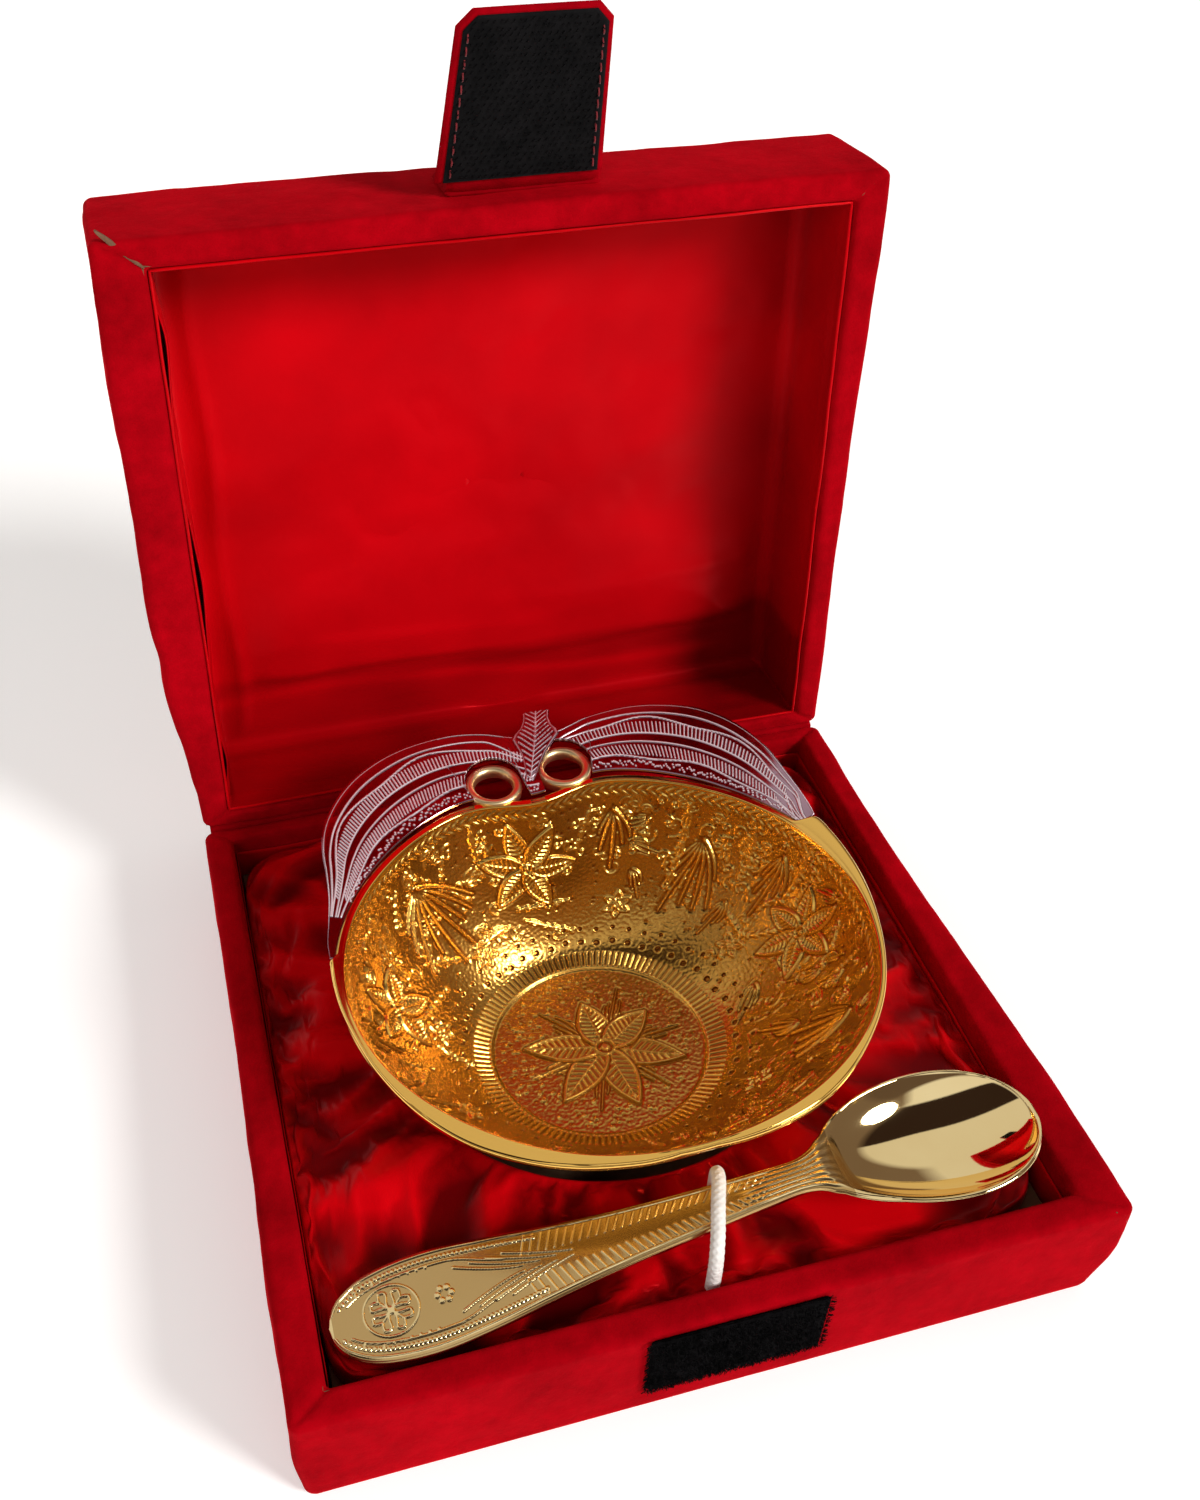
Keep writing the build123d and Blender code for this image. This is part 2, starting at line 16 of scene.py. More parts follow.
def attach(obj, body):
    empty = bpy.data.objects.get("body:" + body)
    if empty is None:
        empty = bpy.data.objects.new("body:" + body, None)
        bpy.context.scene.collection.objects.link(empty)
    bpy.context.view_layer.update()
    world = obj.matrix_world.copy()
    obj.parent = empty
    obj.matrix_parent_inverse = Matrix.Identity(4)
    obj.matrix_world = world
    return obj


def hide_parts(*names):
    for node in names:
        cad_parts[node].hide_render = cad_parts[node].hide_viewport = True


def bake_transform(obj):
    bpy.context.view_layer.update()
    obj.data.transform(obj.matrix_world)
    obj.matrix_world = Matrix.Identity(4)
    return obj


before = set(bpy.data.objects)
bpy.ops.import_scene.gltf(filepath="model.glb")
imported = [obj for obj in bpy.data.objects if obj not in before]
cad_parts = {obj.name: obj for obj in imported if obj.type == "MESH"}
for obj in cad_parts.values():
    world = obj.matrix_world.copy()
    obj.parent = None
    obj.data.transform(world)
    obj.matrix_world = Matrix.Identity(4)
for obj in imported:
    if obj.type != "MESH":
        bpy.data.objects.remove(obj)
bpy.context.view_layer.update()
MM = 0.001
TAU = 2 * math.pi

# ------------------------------------------------------------------ shared sizes
HALF_WIDTH, HALF_DEPTH = 76.0, 69.0
WALL, BACK_WALL = 6.0, 3.6
INNER_X = HALF_WIDTH - WALL
INNER_FRONT = -HALF_DEPTH + WALL
INNER_BACK = HALF_DEPTH - BACK_WALL

HINGE_Y, HINGE_Z = HALF_DEPTH, 26.5
LID_ANGLE = math.radians(95.0)

STRAP_Y, STRAP_Z = -72.0, 33.0           # where the strap turns
STRAP_ANGLE = math.radians(80.0)
STRAP_LEFT, STRAP_RIGHT = -13.0, 18.0
LOOP_LEFT, LOOP_RIGHT = -15.0, 18.5      # loop tape on the front wall

BOWL_X, BOWL_Y = -1.3, -1.2
BOWL_FLOOR_Y = BOWL_Y + 2.8
BED_TOP = 20.7
BED_HOLE_X, BED_HOLE_Y = BOWL_X, BOWL_Y + 1.5
BED_HOLE_RADII = 42.4, 37.2
EYELETS = [(-13.3, 47.1), (3.1, 49.1)]
EYELET_RADIUS = 5.2

SCOOP_X, SCOOP_Y = 45.6, -48.5           # centre of the spoon's scoop


def spoon_axis(x):
    """y of the middle of the spoon's handle."""
    return -52.8 + 3.8 * (x + 60.0) / 110.0


def leaf_height(y):
    """Height of the leaf plate, rising towards the back."""
    return np.interp(y, [5, 15, 25, 35, 45, 52, 58, 66],
                     [46.2, 46.25, 46.4, 47.15, 48.1, 49.05, 49.9, 50.38])


# ------------------------------------------------------------------ placing and curves
def turn_back(points, pivot_y, pivot_z, angle):
    """Turn points about a line along x, lifting what lies in front of it."""
    turned = np.array(points, float)
    y, z = turned[..., 1] - pivot_y, turned[..., 2] - pivot_z
    cos, sin = math.cos(-angle), math.sin(-angle)
    turned[..., 1], turned[..., 2] = y * cos - z * sin + pivot_y, y * sin + z * cos + pivot_z
    return turned


def open_lid(points):
    """From the shut lid to the open lid."""
    return turn_back(points, HINGE_Y, HINGE_Z, LID_ANGLE)


def place_strap(points):
    """From a strap hanging off the shut lid to the strap as it stands."""
    return open_lid(turn_back(points, STRAP_Y, STRAP_Z, STRAP_ANGLE))


def smooth(start, end, x):
    """Smooth step from 0 at start to 1 at end."""
    step = np.clip((x - start) / (end - start), 0, 1)
    return step * step * (3 - 2 * step)


def spline(points, steps):
    """Catmull-Rom curve through points, with a number of steps for each span."""
    points = np.array(points, float)
    points = np.vstack([2 * points[0] - points[1], points, 2 * points[-1] - points[-2]])
    spans = len(points) - 3
    curve = []
    for i in range(spans):
        p0, p1, p2, p3 = points[i:i + 4]
        t = np.linspace(0, 1, steps, endpoint=(i == spans - 1))[:, None]
        curve.append(.5 * ((2 * p1) + (-p0 + p2) * t + (2 * p0 - 5 * p1 + 4 * p2 - p3) * t * t
                           + (-p0 + 3 * p1 - 3 * p2 + p3) * t ** 3))
    return np.vstack(curve)


def polar(angle, radius):
    return radius * math.cos(angle), radius * math.sin(angle)


class ValueNoise:
    """Seeded tri-linear noise on a repeating lattice, between -1 and 1."""

    def __init__(self, seed, size=32):
        self.size = size
        self.values = np.random.RandomState(seed).rand(size, size, size) * 2 - 1

    def at(self, points, scale):
        scaled = np.asarray(points, float) / scale
        cell = np.floor(scaled).astype(int)
        part = scaled - cell
        part = part * part * (3 - 2 * part)
        total = 0
        for corner in np.ndindex(2, 2, 2):
            weight = np.where(corner, part, 1 - part)
            index = (cell + corner) % self.size
            total = total + (weight[..., 0] * weight[..., 1] * weight[..., 2]
                             * self.values[index[..., 0], index[..., 1], index[..., 2]])
        return total

    def layered(self, points, scale, octaves):
        """Sum of octaves, each of half the size and half the strength."""
        total, strength = 0, 1.0
        for k in range(octaves):
            total = total + strength * self.at(np.asarray(points) + 37.1 * k, scale)
            strength *= 0.5
            scale *= 0.5
        return total


NOISE = ValueNoise(11)


# ------------------------------------------------------------------ mesh helpers
def add_mesh(name, points, faces, material, attributes=None, recalc=False):
    """Smooth-shaded object from points in millimetres; faces is a quad array or a list."""
    mesh = bpy.data.meshes.new(name)
    points = np.asarray(points, np.float64).reshape(-1, 3) * MM
    if isinstance(faces, np.ndarray):
        corners = faces.shape[1]
        mesh.vertices.add(len(points))
        mesh.vertices.foreach_set("co", points.astype(np.float32).ravel())
        mesh.loops.add(faces.size)
        mesh.loops.foreach_set("vertex_index", faces.astype(np.int32).ravel())
        mesh.polygons.add(len(faces))
        mesh.polygons.foreach_set("loop_start",
                                  np.arange(0, faces.size, corners, dtype=np.int32))
        mesh.polygons.foreach_set("loop_total", np.full(len(faces), corners, np.int32))
        mesh.update(calc_edges=True)
    else:
        mesh.from_pydata([tuple(p) for p in points], [],
                         [tuple(int(i) for i in face) for face in faces])
        mesh.update()
    mesh.validate(verbose=False)
    for key, values in (attributes or {}).items():
        attribute = mesh.attributes.new(key, "FLOAT", "POINT")
        attribute.data.foreach_set("value", np.asarray(values, np.float32).ravel())
    mesh.polygons.foreach_set("use_smooth", np.ones(len(mesh.polygons), dtype=bool))
    if recalc:
        edit = bmesh.new()
        edit.from_mesh(mesh)
        bmesh.ops.recalc_face_normals(edit, faces=edit.faces)
        edit.to_mesh(mesh)
        edit.free()
    ob = bpy.data.objects.new(name, mesh)
    bpy.context.scene.collection.objects.link(ob)
    mesh.materials.append(material)
    return ob


def grid_faces(rows, columns, close_rows=False, close_columns=False):
    row, column = np.meshgrid(np.arange(rows if close_rows else rows - 1),
                              np.arange(columns if close_columns else columns - 1),
                              indexing="ij")
    next_row, next_column = (row + 1) % rows, (column + 1) % columns
    return np.stack([row * columns + column, next_row * columns + column,
                     next_row * columns + next_column, row * columns + next_column],
                    -1).reshape(-1, 4)


def add_grid(name, points, material, close_rows=False, close_columns=False, **options):
    rows, columns = points.shape[:2]
    faces = grid_faces(rows, columns, close_rows, close_columns)
    return add_mesh(name, points, faces, material, **options)


def register(ob, body=None, replaces=()):
    if replaces:
        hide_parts(*replaces)
    if body:
        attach(ob, body)


def solidify(ob, thickness, offset):
    modifier = ob.modifiers.new("thick", "SOLIDIFY")
    modifier.thickness = thickness * MM
    modifier.offset = offset
    modifier.use_rim = True


def closed_strip(points):
    """Grid closed round its rows, with a cap at each end: points and faces."""
    rows, columns = points.shape[:2]
    faces = grid_faces(rows, columns, True, False).tolist()
    faces.append([i * columns for i in range(rows)])
    faces.append([i * columns + columns - 1 for i in range(rows - 1, -1, -1)])
    return points.reshape(-1, 3), faces


def sandwich(top, bottom):
    """Closed body between two grids of one size."""
    return closed_strip(np.concatenate([top.transpose(1, 0, 2),
                                        bottom.transpose(1, 0, 2)[::-1]]))


def tube(path, radius, sides=12, closed=False):
    """Rings of points round a path, carried along it without twist."""
    path = np.asarray(path, float)
    if closed:
        tangent = np.roll(path, -1, 0) - np.roll(path, 1, 0)
    else:
        tangent = np.gradient(path, axis=0)
    tangent /= np.linalg.norm(tangent, axis=1)[:, None] + 1e-12
    across = np.array([0.0, 0.0, 1.0] if abs(tangent[0][2]) < 0.9 else [1.0, 0.0, 0.0])
    first = np.cross(tangent[0], across)
    normals = [first / np.linalg.norm(first)]
    for direction in tangent[1:]:
        carried = normals[-1] - direction * np.dot(normals[-1], direction)
        normals.append(carried / np.linalg.norm(carried))
    normals = np.array(normals)
    sideways = np.cross(tangent, normals)
    angle = np.arange(sides) * TAU / sides
    return path[:, None] + radius * (normals[:, None] * np.cos(angle)[None, :, None]
                                     + sideways[:, None] * np.sin(angle)[None, :, None])


def tube_mesh(rings, closed=False):
    """Points and faces of a tube; an open one gets end caps."""
    count, sides = rings.shape[:2]
    faces = grid_faces(count, sides, closed, True).tolist()
    if not closed:
        faces.append(range(sides - 1, -1, -1))
        faces.append(range((count - 1) * sides, count * sides))
    return rings.reshape(-1, 3), faces


def join_parts(parts):
    points, faces, offset = [], [], 0
    for part_points, part_faces in parts:
        points.append(np.asarray(part_points))
        faces += [tuple(int(i) + offset for i in face) for face in part_faces]
        offset += len(part_points)
    return np.vstack(points), faces


def grid_normals(points):
    """Unit normals of a grid that is closed round its columns."""
    along_rows = np.gradient(points, axis=0)
    along_columns = np.roll(points, -1, 1) - np.roll(points, 1, 1)
    normals = np.cross(along_columns, along_rows)
    return normals / (np.linalg.norm(normals, axis=2)[..., None] + 1e-9)


# ------------------------------------------------------------------ node helpers
BLACK, WHITE = (0, 0, 0), (1, 1, 1)


class Nodes:
    """Short calls for building a node tree.  Input names take _ for a space."""

    def __init__(self, tree):
        self.tree = tree

    def add(self, kind, **inputs):
        node = self.tree.nodes.new(kind)
        for name, value in inputs.items():
            node.inputs[name.replace("_", " ")].default_value = value
        return node

    def feed(self, value, socket):
        """Link a socket, or set a number or an RGB colour."""
        if isinstance(value, bpy.types.NodeSocket):
            self.tree.links.new(value, socket)
        else:
            socket.default_value = (*value, 1) if isinstance(value, tuple) else value

    def math(self, operation, first, second, clamp=False):
        node = self.add("ShaderNodeMath")
        node.operation = operation
        node.use_clamp = clamp
        self.feed(first, node.inputs[0])
        self.feed(second, node.inputs[1])
        return node.outputs[0]

    def mix(self, factor, first, second):
        node = self.add("ShaderNodeMix")
        node.data_type = "RGBA"
        self.feed(factor, node.inputs[0])
        self.feed(first, node.inputs[6])
        self.feed(second, node.inputs[7])
        return node.outputs[2]


class Material(Nodes):
    def __init__(self, name):
        self.data = bpy.data.materials.new(name)
        self.data.use_nodes = True
        super().__init__(self.data.node_tree)
        self.shader = self.tree.nodes["Principled BSDF"]
        self.position = self.add("ShaderNodeTexCoord").outputs["Object"]

    def shade(self, **inputs):
        for name, value in inputs.items():
            self.feed(value, self.shader.inputs[name.replace("_", " ")])

    def noise(self, scale, detail=3, roughness=0.5, stretch=None):
        node = self.add("ShaderNodeTexNoise", Scale=scale, Detail=detail, Roughness=roughness)
        source = self.position
        if stretch:
            mapping = self.add("ShaderNodeMapping", Scale=stretch)
            self.feed(source, mapping.inputs["Vector"])
            source = mapping.outputs["Vector"]
        self.feed(source, node.inputs["Vector"])
        return node.outputs["Fac"]

    def ramp(self, source, *stops):
        """Colour ramp; each stop is (position, colour)."""
        node = self.add("ShaderNodeValToRGB")
        elements = node.color_ramp.elements
        for element, (position, color) in zip(elements, (stops[0], stops[-1])):
            element.position, element.color = position, (*color, 1)
        for position, color in stops[1:-1]:
            elements.new(position).color = (*color, 1)
        self.feed(source, node.inputs["Fac"])
        return node.outputs["Color"]

    def bump(self, source, strength, depth, normal=None):
        """depth is in millimetres."""
        node = self.add("ShaderNodeBump", Strength=strength, Distance=depth * MM)
        self.feed(source, node.inputs["Height"])
        if normal is not None:
            self.feed(normal, node.inputs["Normal"])
        return node.outputs["Normal"]

    def attribute(self, name):
        node = self.add("ShaderNodeAttribute")
        node.attribute_name = name
        return node.outputs["Fac"]

    def fade(self, source, start, end):
        """Value going from start to end as source goes from 0 to 1."""
        node = self.add("ShaderNodeMapRange", To_Min=start, To_Max=end)
        self.feed(source, node.inputs["Value"])
        return node.outputs["Result"]


# ------------------------------------------------------------------ materials
def velvet_material(name, red=1.0):
    """Mottled matt pile with a red sheen; red scales the red channel."""
    mat = Material(name)
    broad = mat.noise(scale=45, detail=4, roughness=0.55)
    close = mat.noise(scale=260, detail=3, roughness=0.6)
    mottle = mat.math("ADD", mat.math("MULTIPLY", broad, 0.62),
                      mat.math("MULTIPLY", close, 0.38))
    color = mat.ramp(mottle, (0.30, (0.21 * red, 0.0002, 0.0025)),
                     (0.52, (0.33 * red, 0.0003, 0.004)), (0.72, (0.45 * red, 0.0005, 0.006)))
    pile = mat.noise(scale=2600, detail=2, roughness=0.7)
    tufts = mat.noise(scale=520, detail=3, roughness=0.6)
    normal = mat.bump(tufts, strength=0.5, depth=0.25)
    normal = mat.bump(pile, strength=0.55, depth=0.12, normal=normal)
    mat.shade(Base_Color=color, Roughness=0.95, Specular_IOR_Level=0.02, Sheen_Weight=0.6,
              Sheen_Roughness=0.35, Sheen_Tint=(1.0, 0.006, 0.02), Normal=normal)
    return mat.data


def satin_material(name, red=1.0, folds=False):
    """Woven satin; with folds, the 'fold' attribute paints shade: it darkens the colour in the
    hollows, where shade falls.
    """
    mat = Material(name)
    color = mat.ramp(mat.noise(scale=30, detail=3, roughness=0.5),
                     (0.3, (0.40 * red, 0.0004, 0.003)), (0.7, (0.54 * red, 0.0006, 0.004)))
    if folds:
        # painted shade: a near-black red is mixed into the colour where 'fold' is low
        lit = mat.ramp(mat.attribute("fold"), (0.10, BLACK), (0.62, WHITE))
        color = mat.mix(lit, (0.085, 0.0001, 0.001), color)
        mat.shade(Roughness=0.30, Specular_IOR_Level=0.45)
    else:
        mat.shade(Roughness=0.34, Specular_IOR_Level=0.75)
    threads = mat.add("ShaderNodeTexWave", Scale=900, Distortion=1.5, Detail=2)
    threads.wave_type = "BANDS"
    threads.bands_direction = "X"
    mat.feed(mat.position, threads.inputs["Vector"])
    slubs = mat.noise(scale=700, detail=3, roughness=0.6, stretch=(0.25, 1.6, 1.6))
    normal = mat.bump(threads.outputs["Fac"], strength=0.12, depth=0.05)
    normal = mat.bump(slubs, strength=0.22, depth=0.10, normal=normal)
    mat.shade(Base_Color=color, Specular_Tint=(1.0, 0.015, 0.02), Anisotropic=0.5,
              Sheen_Weight=0.08, Sheen_Roughness=0.3, Sheen_Tint=(1.0, 0.005, 0.01),
              Normal=normal)
    return mat.data


def chased_gold_material(name):
    """Gold darkened in the hollows of 'relief' and mirror-like where 'polish' is 1."""
    gold, hollow = (0.90, 0.54, 0.125), (0.36, 0.13, 0.018)
    mat = Material(name)
    height, polish = mat.attribute("relief"), mat.attribute("polish")
    tone = mat.ramp(mat.noise(scale=60, detail=4, roughness=0.6),
                    (0.3, tuple(0.90 * c for c in gold)), (0.7, gold))
    grain = mat.noise(scale=900, detail=2, roughness=0.5)
    worn = mat.math("ADD", mat.math("MULTIPLY", height, 1.0),
                    mat.math("MULTIPLY", grain, 0.12))
    worn = mat.ramp(worn, (0.05, BLACK), (0.60, WHITE))
    color = mat.mix(polish, mat.mix(worn, hollow, tone), gold)
    fine = mat.noise(scale=1500, detail=3, roughness=0.6)
    mat.shade(Base_Color=color, Roughness=mat.fade(polish, start=0.25, end=0.10),
              Metallic=1.0, Normal=mat.bump(fine, strength=0.10, depth=0.05))
    return mat.data


def plain_gold_material(name, gold, roughness):
    mat = Material(name)
    tone = mat.ramp(mat.noise(scale=80, detail=3, roughness=0.5),
                    (0.3, tuple(0.92 * c for c in gold)), (0.7, gold))
    fine = mat.noise(scale=1500, detail=3, roughness=0.6)
    mat.shade(Base_Color=tone, Roughness=roughness, Metallic=1.0,
              Normal=mat.bump(fine, strength=0.04, depth=0.05))
    return mat.data


def silver_material(name):
    """Mirror-like silver, pale and matt where 'engrave' is 1."""
    mat = Material(name)
    cut = mat.attribute("engrave")
    fine = mat.noise(scale=1200, detail=2, roughness=0.6)
    plain = mat.ramp(mat.noise(scale=70, detail=3, roughness=0.6),
                     (0.3, (0.34, 0.20, 0.26)), (0.7, (0.46, 0.29, 0.36)))
    mat.shade(Base_Color=mat.mix(cut, plain, (0.80, 0.72, 0.77)),
              Roughness=mat.fade(cut, start=0.09, end=0.5),
              Metallic=mat.fade(cut, start=1.0, end=0.45),
              Normal=mat.bump(fine, strength=0.05, depth=0.04))
    return mat.data


def spoon_material(name):
    """Pale gold, darker in the hollows of 'relief' and mirror-like where 'polish' is 1."""
    mat = Material(name)
    height = mat.attribute("relief")
    tone = mat.ramp(mat.noise(scale=50, detail=3, roughness=0.5),
                    (0.3, (0.90, 0.68, 0.33)), (0.7, (0.97, 0.77, 0.40)))
    worn = mat.ramp(height, (0.0, BLACK), (0.5, WHITE))
    fine = mat.noise(scale=1800, detail=2, roughness=0.6)
    mat.shade(Base_Color=mat.mix(worn, (0.42, 0.22, 0.05), tone), Metallic=1.0,
              Roughness=mat.fade(mat.attribute("polish"), start=0.20, end=0.045),
              Normal=mat.bump(fine, strength=0.03, depth=0.04))
    return mat.data


def matt_material(name, dark, light, roughness, grain, sheen, bump, depth, specular=0.25):
    """Mottled matt stuff; grain is the noise scale of its bumps."""
    mat = Material(name)
    color = mat.ramp(mat.noise(scale=grain * 0.2, detail=3, roughness=0.6),
                     (0.3, dark), (0.7, light))
    bumps = mat.noise(scale=grain, detail=3, roughness=0.6)
    mat.shade(Base_Color=color, Roughness=roughness, Specular_IOR_Level=specular,
              Sheen_Weight=sheen, Normal=mat.bump(bumps, strength=bump, depth=depth))
    return mat.data


VELVET = velvet_material("velvet_red_pile")
STRAP_VELVET = velvet_material("velvet_strap_pile", red=0.85)
SATIN = satin_material("satin_red_weave")
LID_SATIN = satin_material("satin_lid_weave", folds=True)
BED_SATIN = satin_material("satin_bed_weave", red=1.15, folds=True)
CHASED_GOLD = chased_gold_material("gold_chased")
POLISHED_GOLD = plain_gold_material("gold_polished", gold=(0.90, 0.54, 0.125), roughness=0.13)
EYELET_GOLD = plain_gold_material("gold_eyelet", gold=(1.0, 0.76, 0.42), roughness=0.34)
SILVER = silver_material("silver_engraved")
SPOON_GOLD = spoon_material("spoon_pale_gold")
BOARD = matt_material("grey_brown_board", dark=(0.10, 0.045, 0.025), light=(0.19, 0.10, 0.055),
                      roughness=0.9, grain=700, sheen=0.0, bump=0.5, depth=0.2)
FOAM = matt_material("foam_open_cell", dark=(0.72, 0.70, 0.62), light=(0.85, 0.83, 0.76),
                     roughness=0.95, grain=500, sheen=0.1, bump=0.8, depth=0.5)
PAPER = matt_material("bottom_paper_red", dark=(0.10, 0.004, 0.008), light=(0.16, 0.006, 0.012),
                      roughness=0.8, grain=1500, sheen=0.1, bump=0.3, depth=0.08)
HOOK_TAPE = matt_material("hook_tape_black", dark=(0.0015, 0.0015, 0.0018),
                          light=(0.005, 0.0045, 0.005), roughness=0.7, grain=1400, sheen=0.0,
                          bump=0.5, depth=0.1, specular=0.07)
LOOP_TAPE = matt_material("loop_tape_black", dark=(0.001, 0.001, 0.001),
                          light=(0.004, 0.0035, 0.004), roughness=0.95, grain=1400, sheen=0.0,
                          bump=0.9, depth=0.2, specular=0.03)
THREAD = matt_material("thread_dark_red", dark=(0.10, 0.003, 0.006), light=(0.20, 0.006, 0.012),
                       roughness=0.7, grain=2500, sheen=0.2, bump=0.5, depth=0.08)
ELASTIC = matt_material("elastic_white", dark=(0.74, 0.71, 0.68), light=(0.90, 0.88, 0.85),
                        roughness=0.75, grain=1800, sheen=0.4, bump=0.5, depth=0.1)


def cad_material(name):
    """Material of a loaded CAD piece, from its name."""
    if name.endswith("_board") or name in ("bed_card", "strap_card"):
        return BOARD
    if "foam" in name:
        return FOAM
    return {"base_bottom_sheet": PAPER, "bowl_foot_ring": POLISHED_GOLD}.get(name, VELVET)


def paint_cad_pieces():
    for name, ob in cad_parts.items():
        material = cad_material(name)
        if not ob.material_slots:
            ob.data.materials.append(material)
        for slot in ob.material_slots:
            slot.material = material


# ------------------------------------------------------------------ velvet shells
CORNER = 1.9             # outer corner radius
VELVET_THICKNESS = 0.38


def rounded_ring(half_x, front, back, radius, z):
    """Rounded rectangle, from the left end of the front side anticlockwise."""
    x_in, front_in, back_in = half_x - radius, front + radius, back - radius
    # start, end, points, centre of the corner that follows, its first angle
    sides = (((-x_in, front), (x_in, front), 96, (x_in, front_in), -90),
             ((half_x, front_in), (half_x, back_in), 86, (x_in, back_in), 0),
             ((x_in, back), (-x_in, back), 96, (-x_in, back_in), 90),
             ((-half_x, back_in), (-half_x, front_in), 86, (-x_in, front_in), 180))
    ring = []
    for start, end, count, centre, first_angle in sides:
        ring.append(np.linspace(start, end, count))
        angle = np.radians(first_angle + 90 * np.arange(1, 7) / 7)
        ring.append(np.c_[centre[0] + radius * np.cos(angle),
                          centre[1] + radius * np.sin(angle)])
    ring = np.vstack(ring)
    return np.c_[ring, np.full(len(ring), z)]


def wall_ring(depth, z, radius):
    """Ring at a depth into the wall; the thinner back wall is scaled to match."""
    return rounded_ring(HALF_WIDTH - depth, -HALF_DEPTH + depth,
                        HALF_DEPTH - BACK_WALL * depth / WALL, radius, z)


def top_ring(inset, z):
    """Ring on the lid's outer panel, an inset in from its edge."""
    return rounded_ring(HALF_WIDTH - inset, -HALF_DEPTH + inset, HALF_DEPTH - inset,
                        max(0.02, CORNER - inset * 0.4), z)


def outward_normals(points, wall_row):
    """Normals turned outwards, judged on the front wall, and the turn (1 or -1)."""
    normals = grid_normals(points)
    facing = 1 if normals[wall_row, 10, 1] < 0 else -1
    return normals * facing, facing


def velvet_waves(points, depth, strength, scale, shift, fine_shift, left, elsewhere):
    """Uneven lie of the velvet, by its own strength on the left wall; faint inside."""
    side = np.where(points[..., 0] < -60, left, elsewhere)
    waves = (0.12 + strength * NOISE.layered(points + shift, scale, 3) * side
             + 0.12 * NOISE.layered(points + fine_shift, 6.0, 2))
    waves = np.maximum(waves, -0.06)
    return np.where(((depth > 5.5) & (depth < 8))[:, None], waves * 0.25, waves)


def crease_corners(points, up, depth):
    """Shallow puckered crease across the rim at each corner; up is 1 or -1."""
    x, y = points[..., 0], points[..., 1]
    weight = smooth(0.3, 1.2, np.where(depth > 5.6, 0.0, depth))[:, None]
    for side_x in (-1, 1):
        for side_y in (-1, 1):
            wall_y = WALL if side_y < 0 else BACK_WALL
            in_x = (HALF_WIDTH - side_x * x) / WALL
            in_y = (HALF_DEPTH - side_y * y) / wall_y
            distance = np.abs(in_x - in_y) * 2.6
            near = (in_x < 1.3) & (in_y < 1.3)
            groove = np.exp(-(distance / 0.55) ** 2) * near
            ridge = np.exp(-((distance - 1.3) / 0.6) ** 2) * near
            points[..., 2] += up * weight * (0.16 * ridge - 0.36 * groove)


def base_velvet():
    # (depth into the wall, z, corner radius): outside, over the rim, down the inside
    profile = [(0.9, 0.06, 1.3), (0.45, 0.12, 1.6), (0.15, 0.4, 1.8), (0.0, 0.9, CORNER)]
    profile += [(-0.22 * math.sin(math.pi * (z - 0.9) / 23.2), z, CORNER)
                for z in np.linspace(1.8, 24.0, 21)]
    profile += [(1.4 - 1.4 * math.cos(a), 24.5 + 1.42 * math.sin(a), CORNER - 0.5 * a / 1.57)
                for a in np.radians(np.linspace(8, 90, 9))]
    profile += [(d, 25.93 + 0.05 * math.sin(d), 1.2) for d in (1.9, 2.5, 3.1, 3.5, 3.9, 4.2)]
    profile += [(4.3 + 1.65 * math.sin(a), 24.3 + 1.62 * math.cos(a), 0.9)
                for a in np.radians(np.linspace(12, 90, 6))]
    profile += [(5.96, z, 0.9) for z in np.linspace(23.4, 12.0, 8)]
    points = np.array([wall_ring(*row) for row in profile])
    depth, height = np.array(profile)[:, 0], np.array(profile)[:, 1]
    normals, facing = outward_normals(points, 10)
    waves = velvet_waves(points, depth, strength=0.34, scale=19.0, shift=0, fine_shift=50,
                         left=1.0, elsewhere=0.55)
    calm = np.where(height < 1.0, 0.1, 1.0)[:, None]
    points = points + normals * (waves * calm)[..., None]
    crease_corners(points, 1, depth)
    points[..., 2] = np.clip(points[..., 2], 0.02, 26.40)
    # the right wall swells outwards towards the front, the left wall a little
    outer = (1 - np.clip(depth, 0, 5.0) / 5.0)[:, None]
    x, y, z = points[..., 0], points[..., 1], points[..., 2]
    x += 3.6 * outer * smooth(45, -60, y) * smooth(40, 76, x) * smooth(-1.0, 14.0, z)
    x -= 1.2 * outer * smooth(20, -50, y) * smooth(-40, -76, x) * smooth(-1.0, 14.0, z)
    # flat under the loop tape
    flat = (smooth(LOOP_LEFT - 3, LOOP_LEFT, x) * (1 - smooth(LOOP_RIGHT, LOOP_RIGHT + 3, x))
            * smooth(4, 7, z) * (y < -66))
    points[..., 1] = y * (1 - flat) + np.maximum(y, -68.9) * flat
    ob = add_grid("velvet_base", points, VELVET, close_columns=True)
    solidify(ob, VELVET_THICKNESS, offset=facing)
    register(ob, "base", ["base_velvet_wrap"])


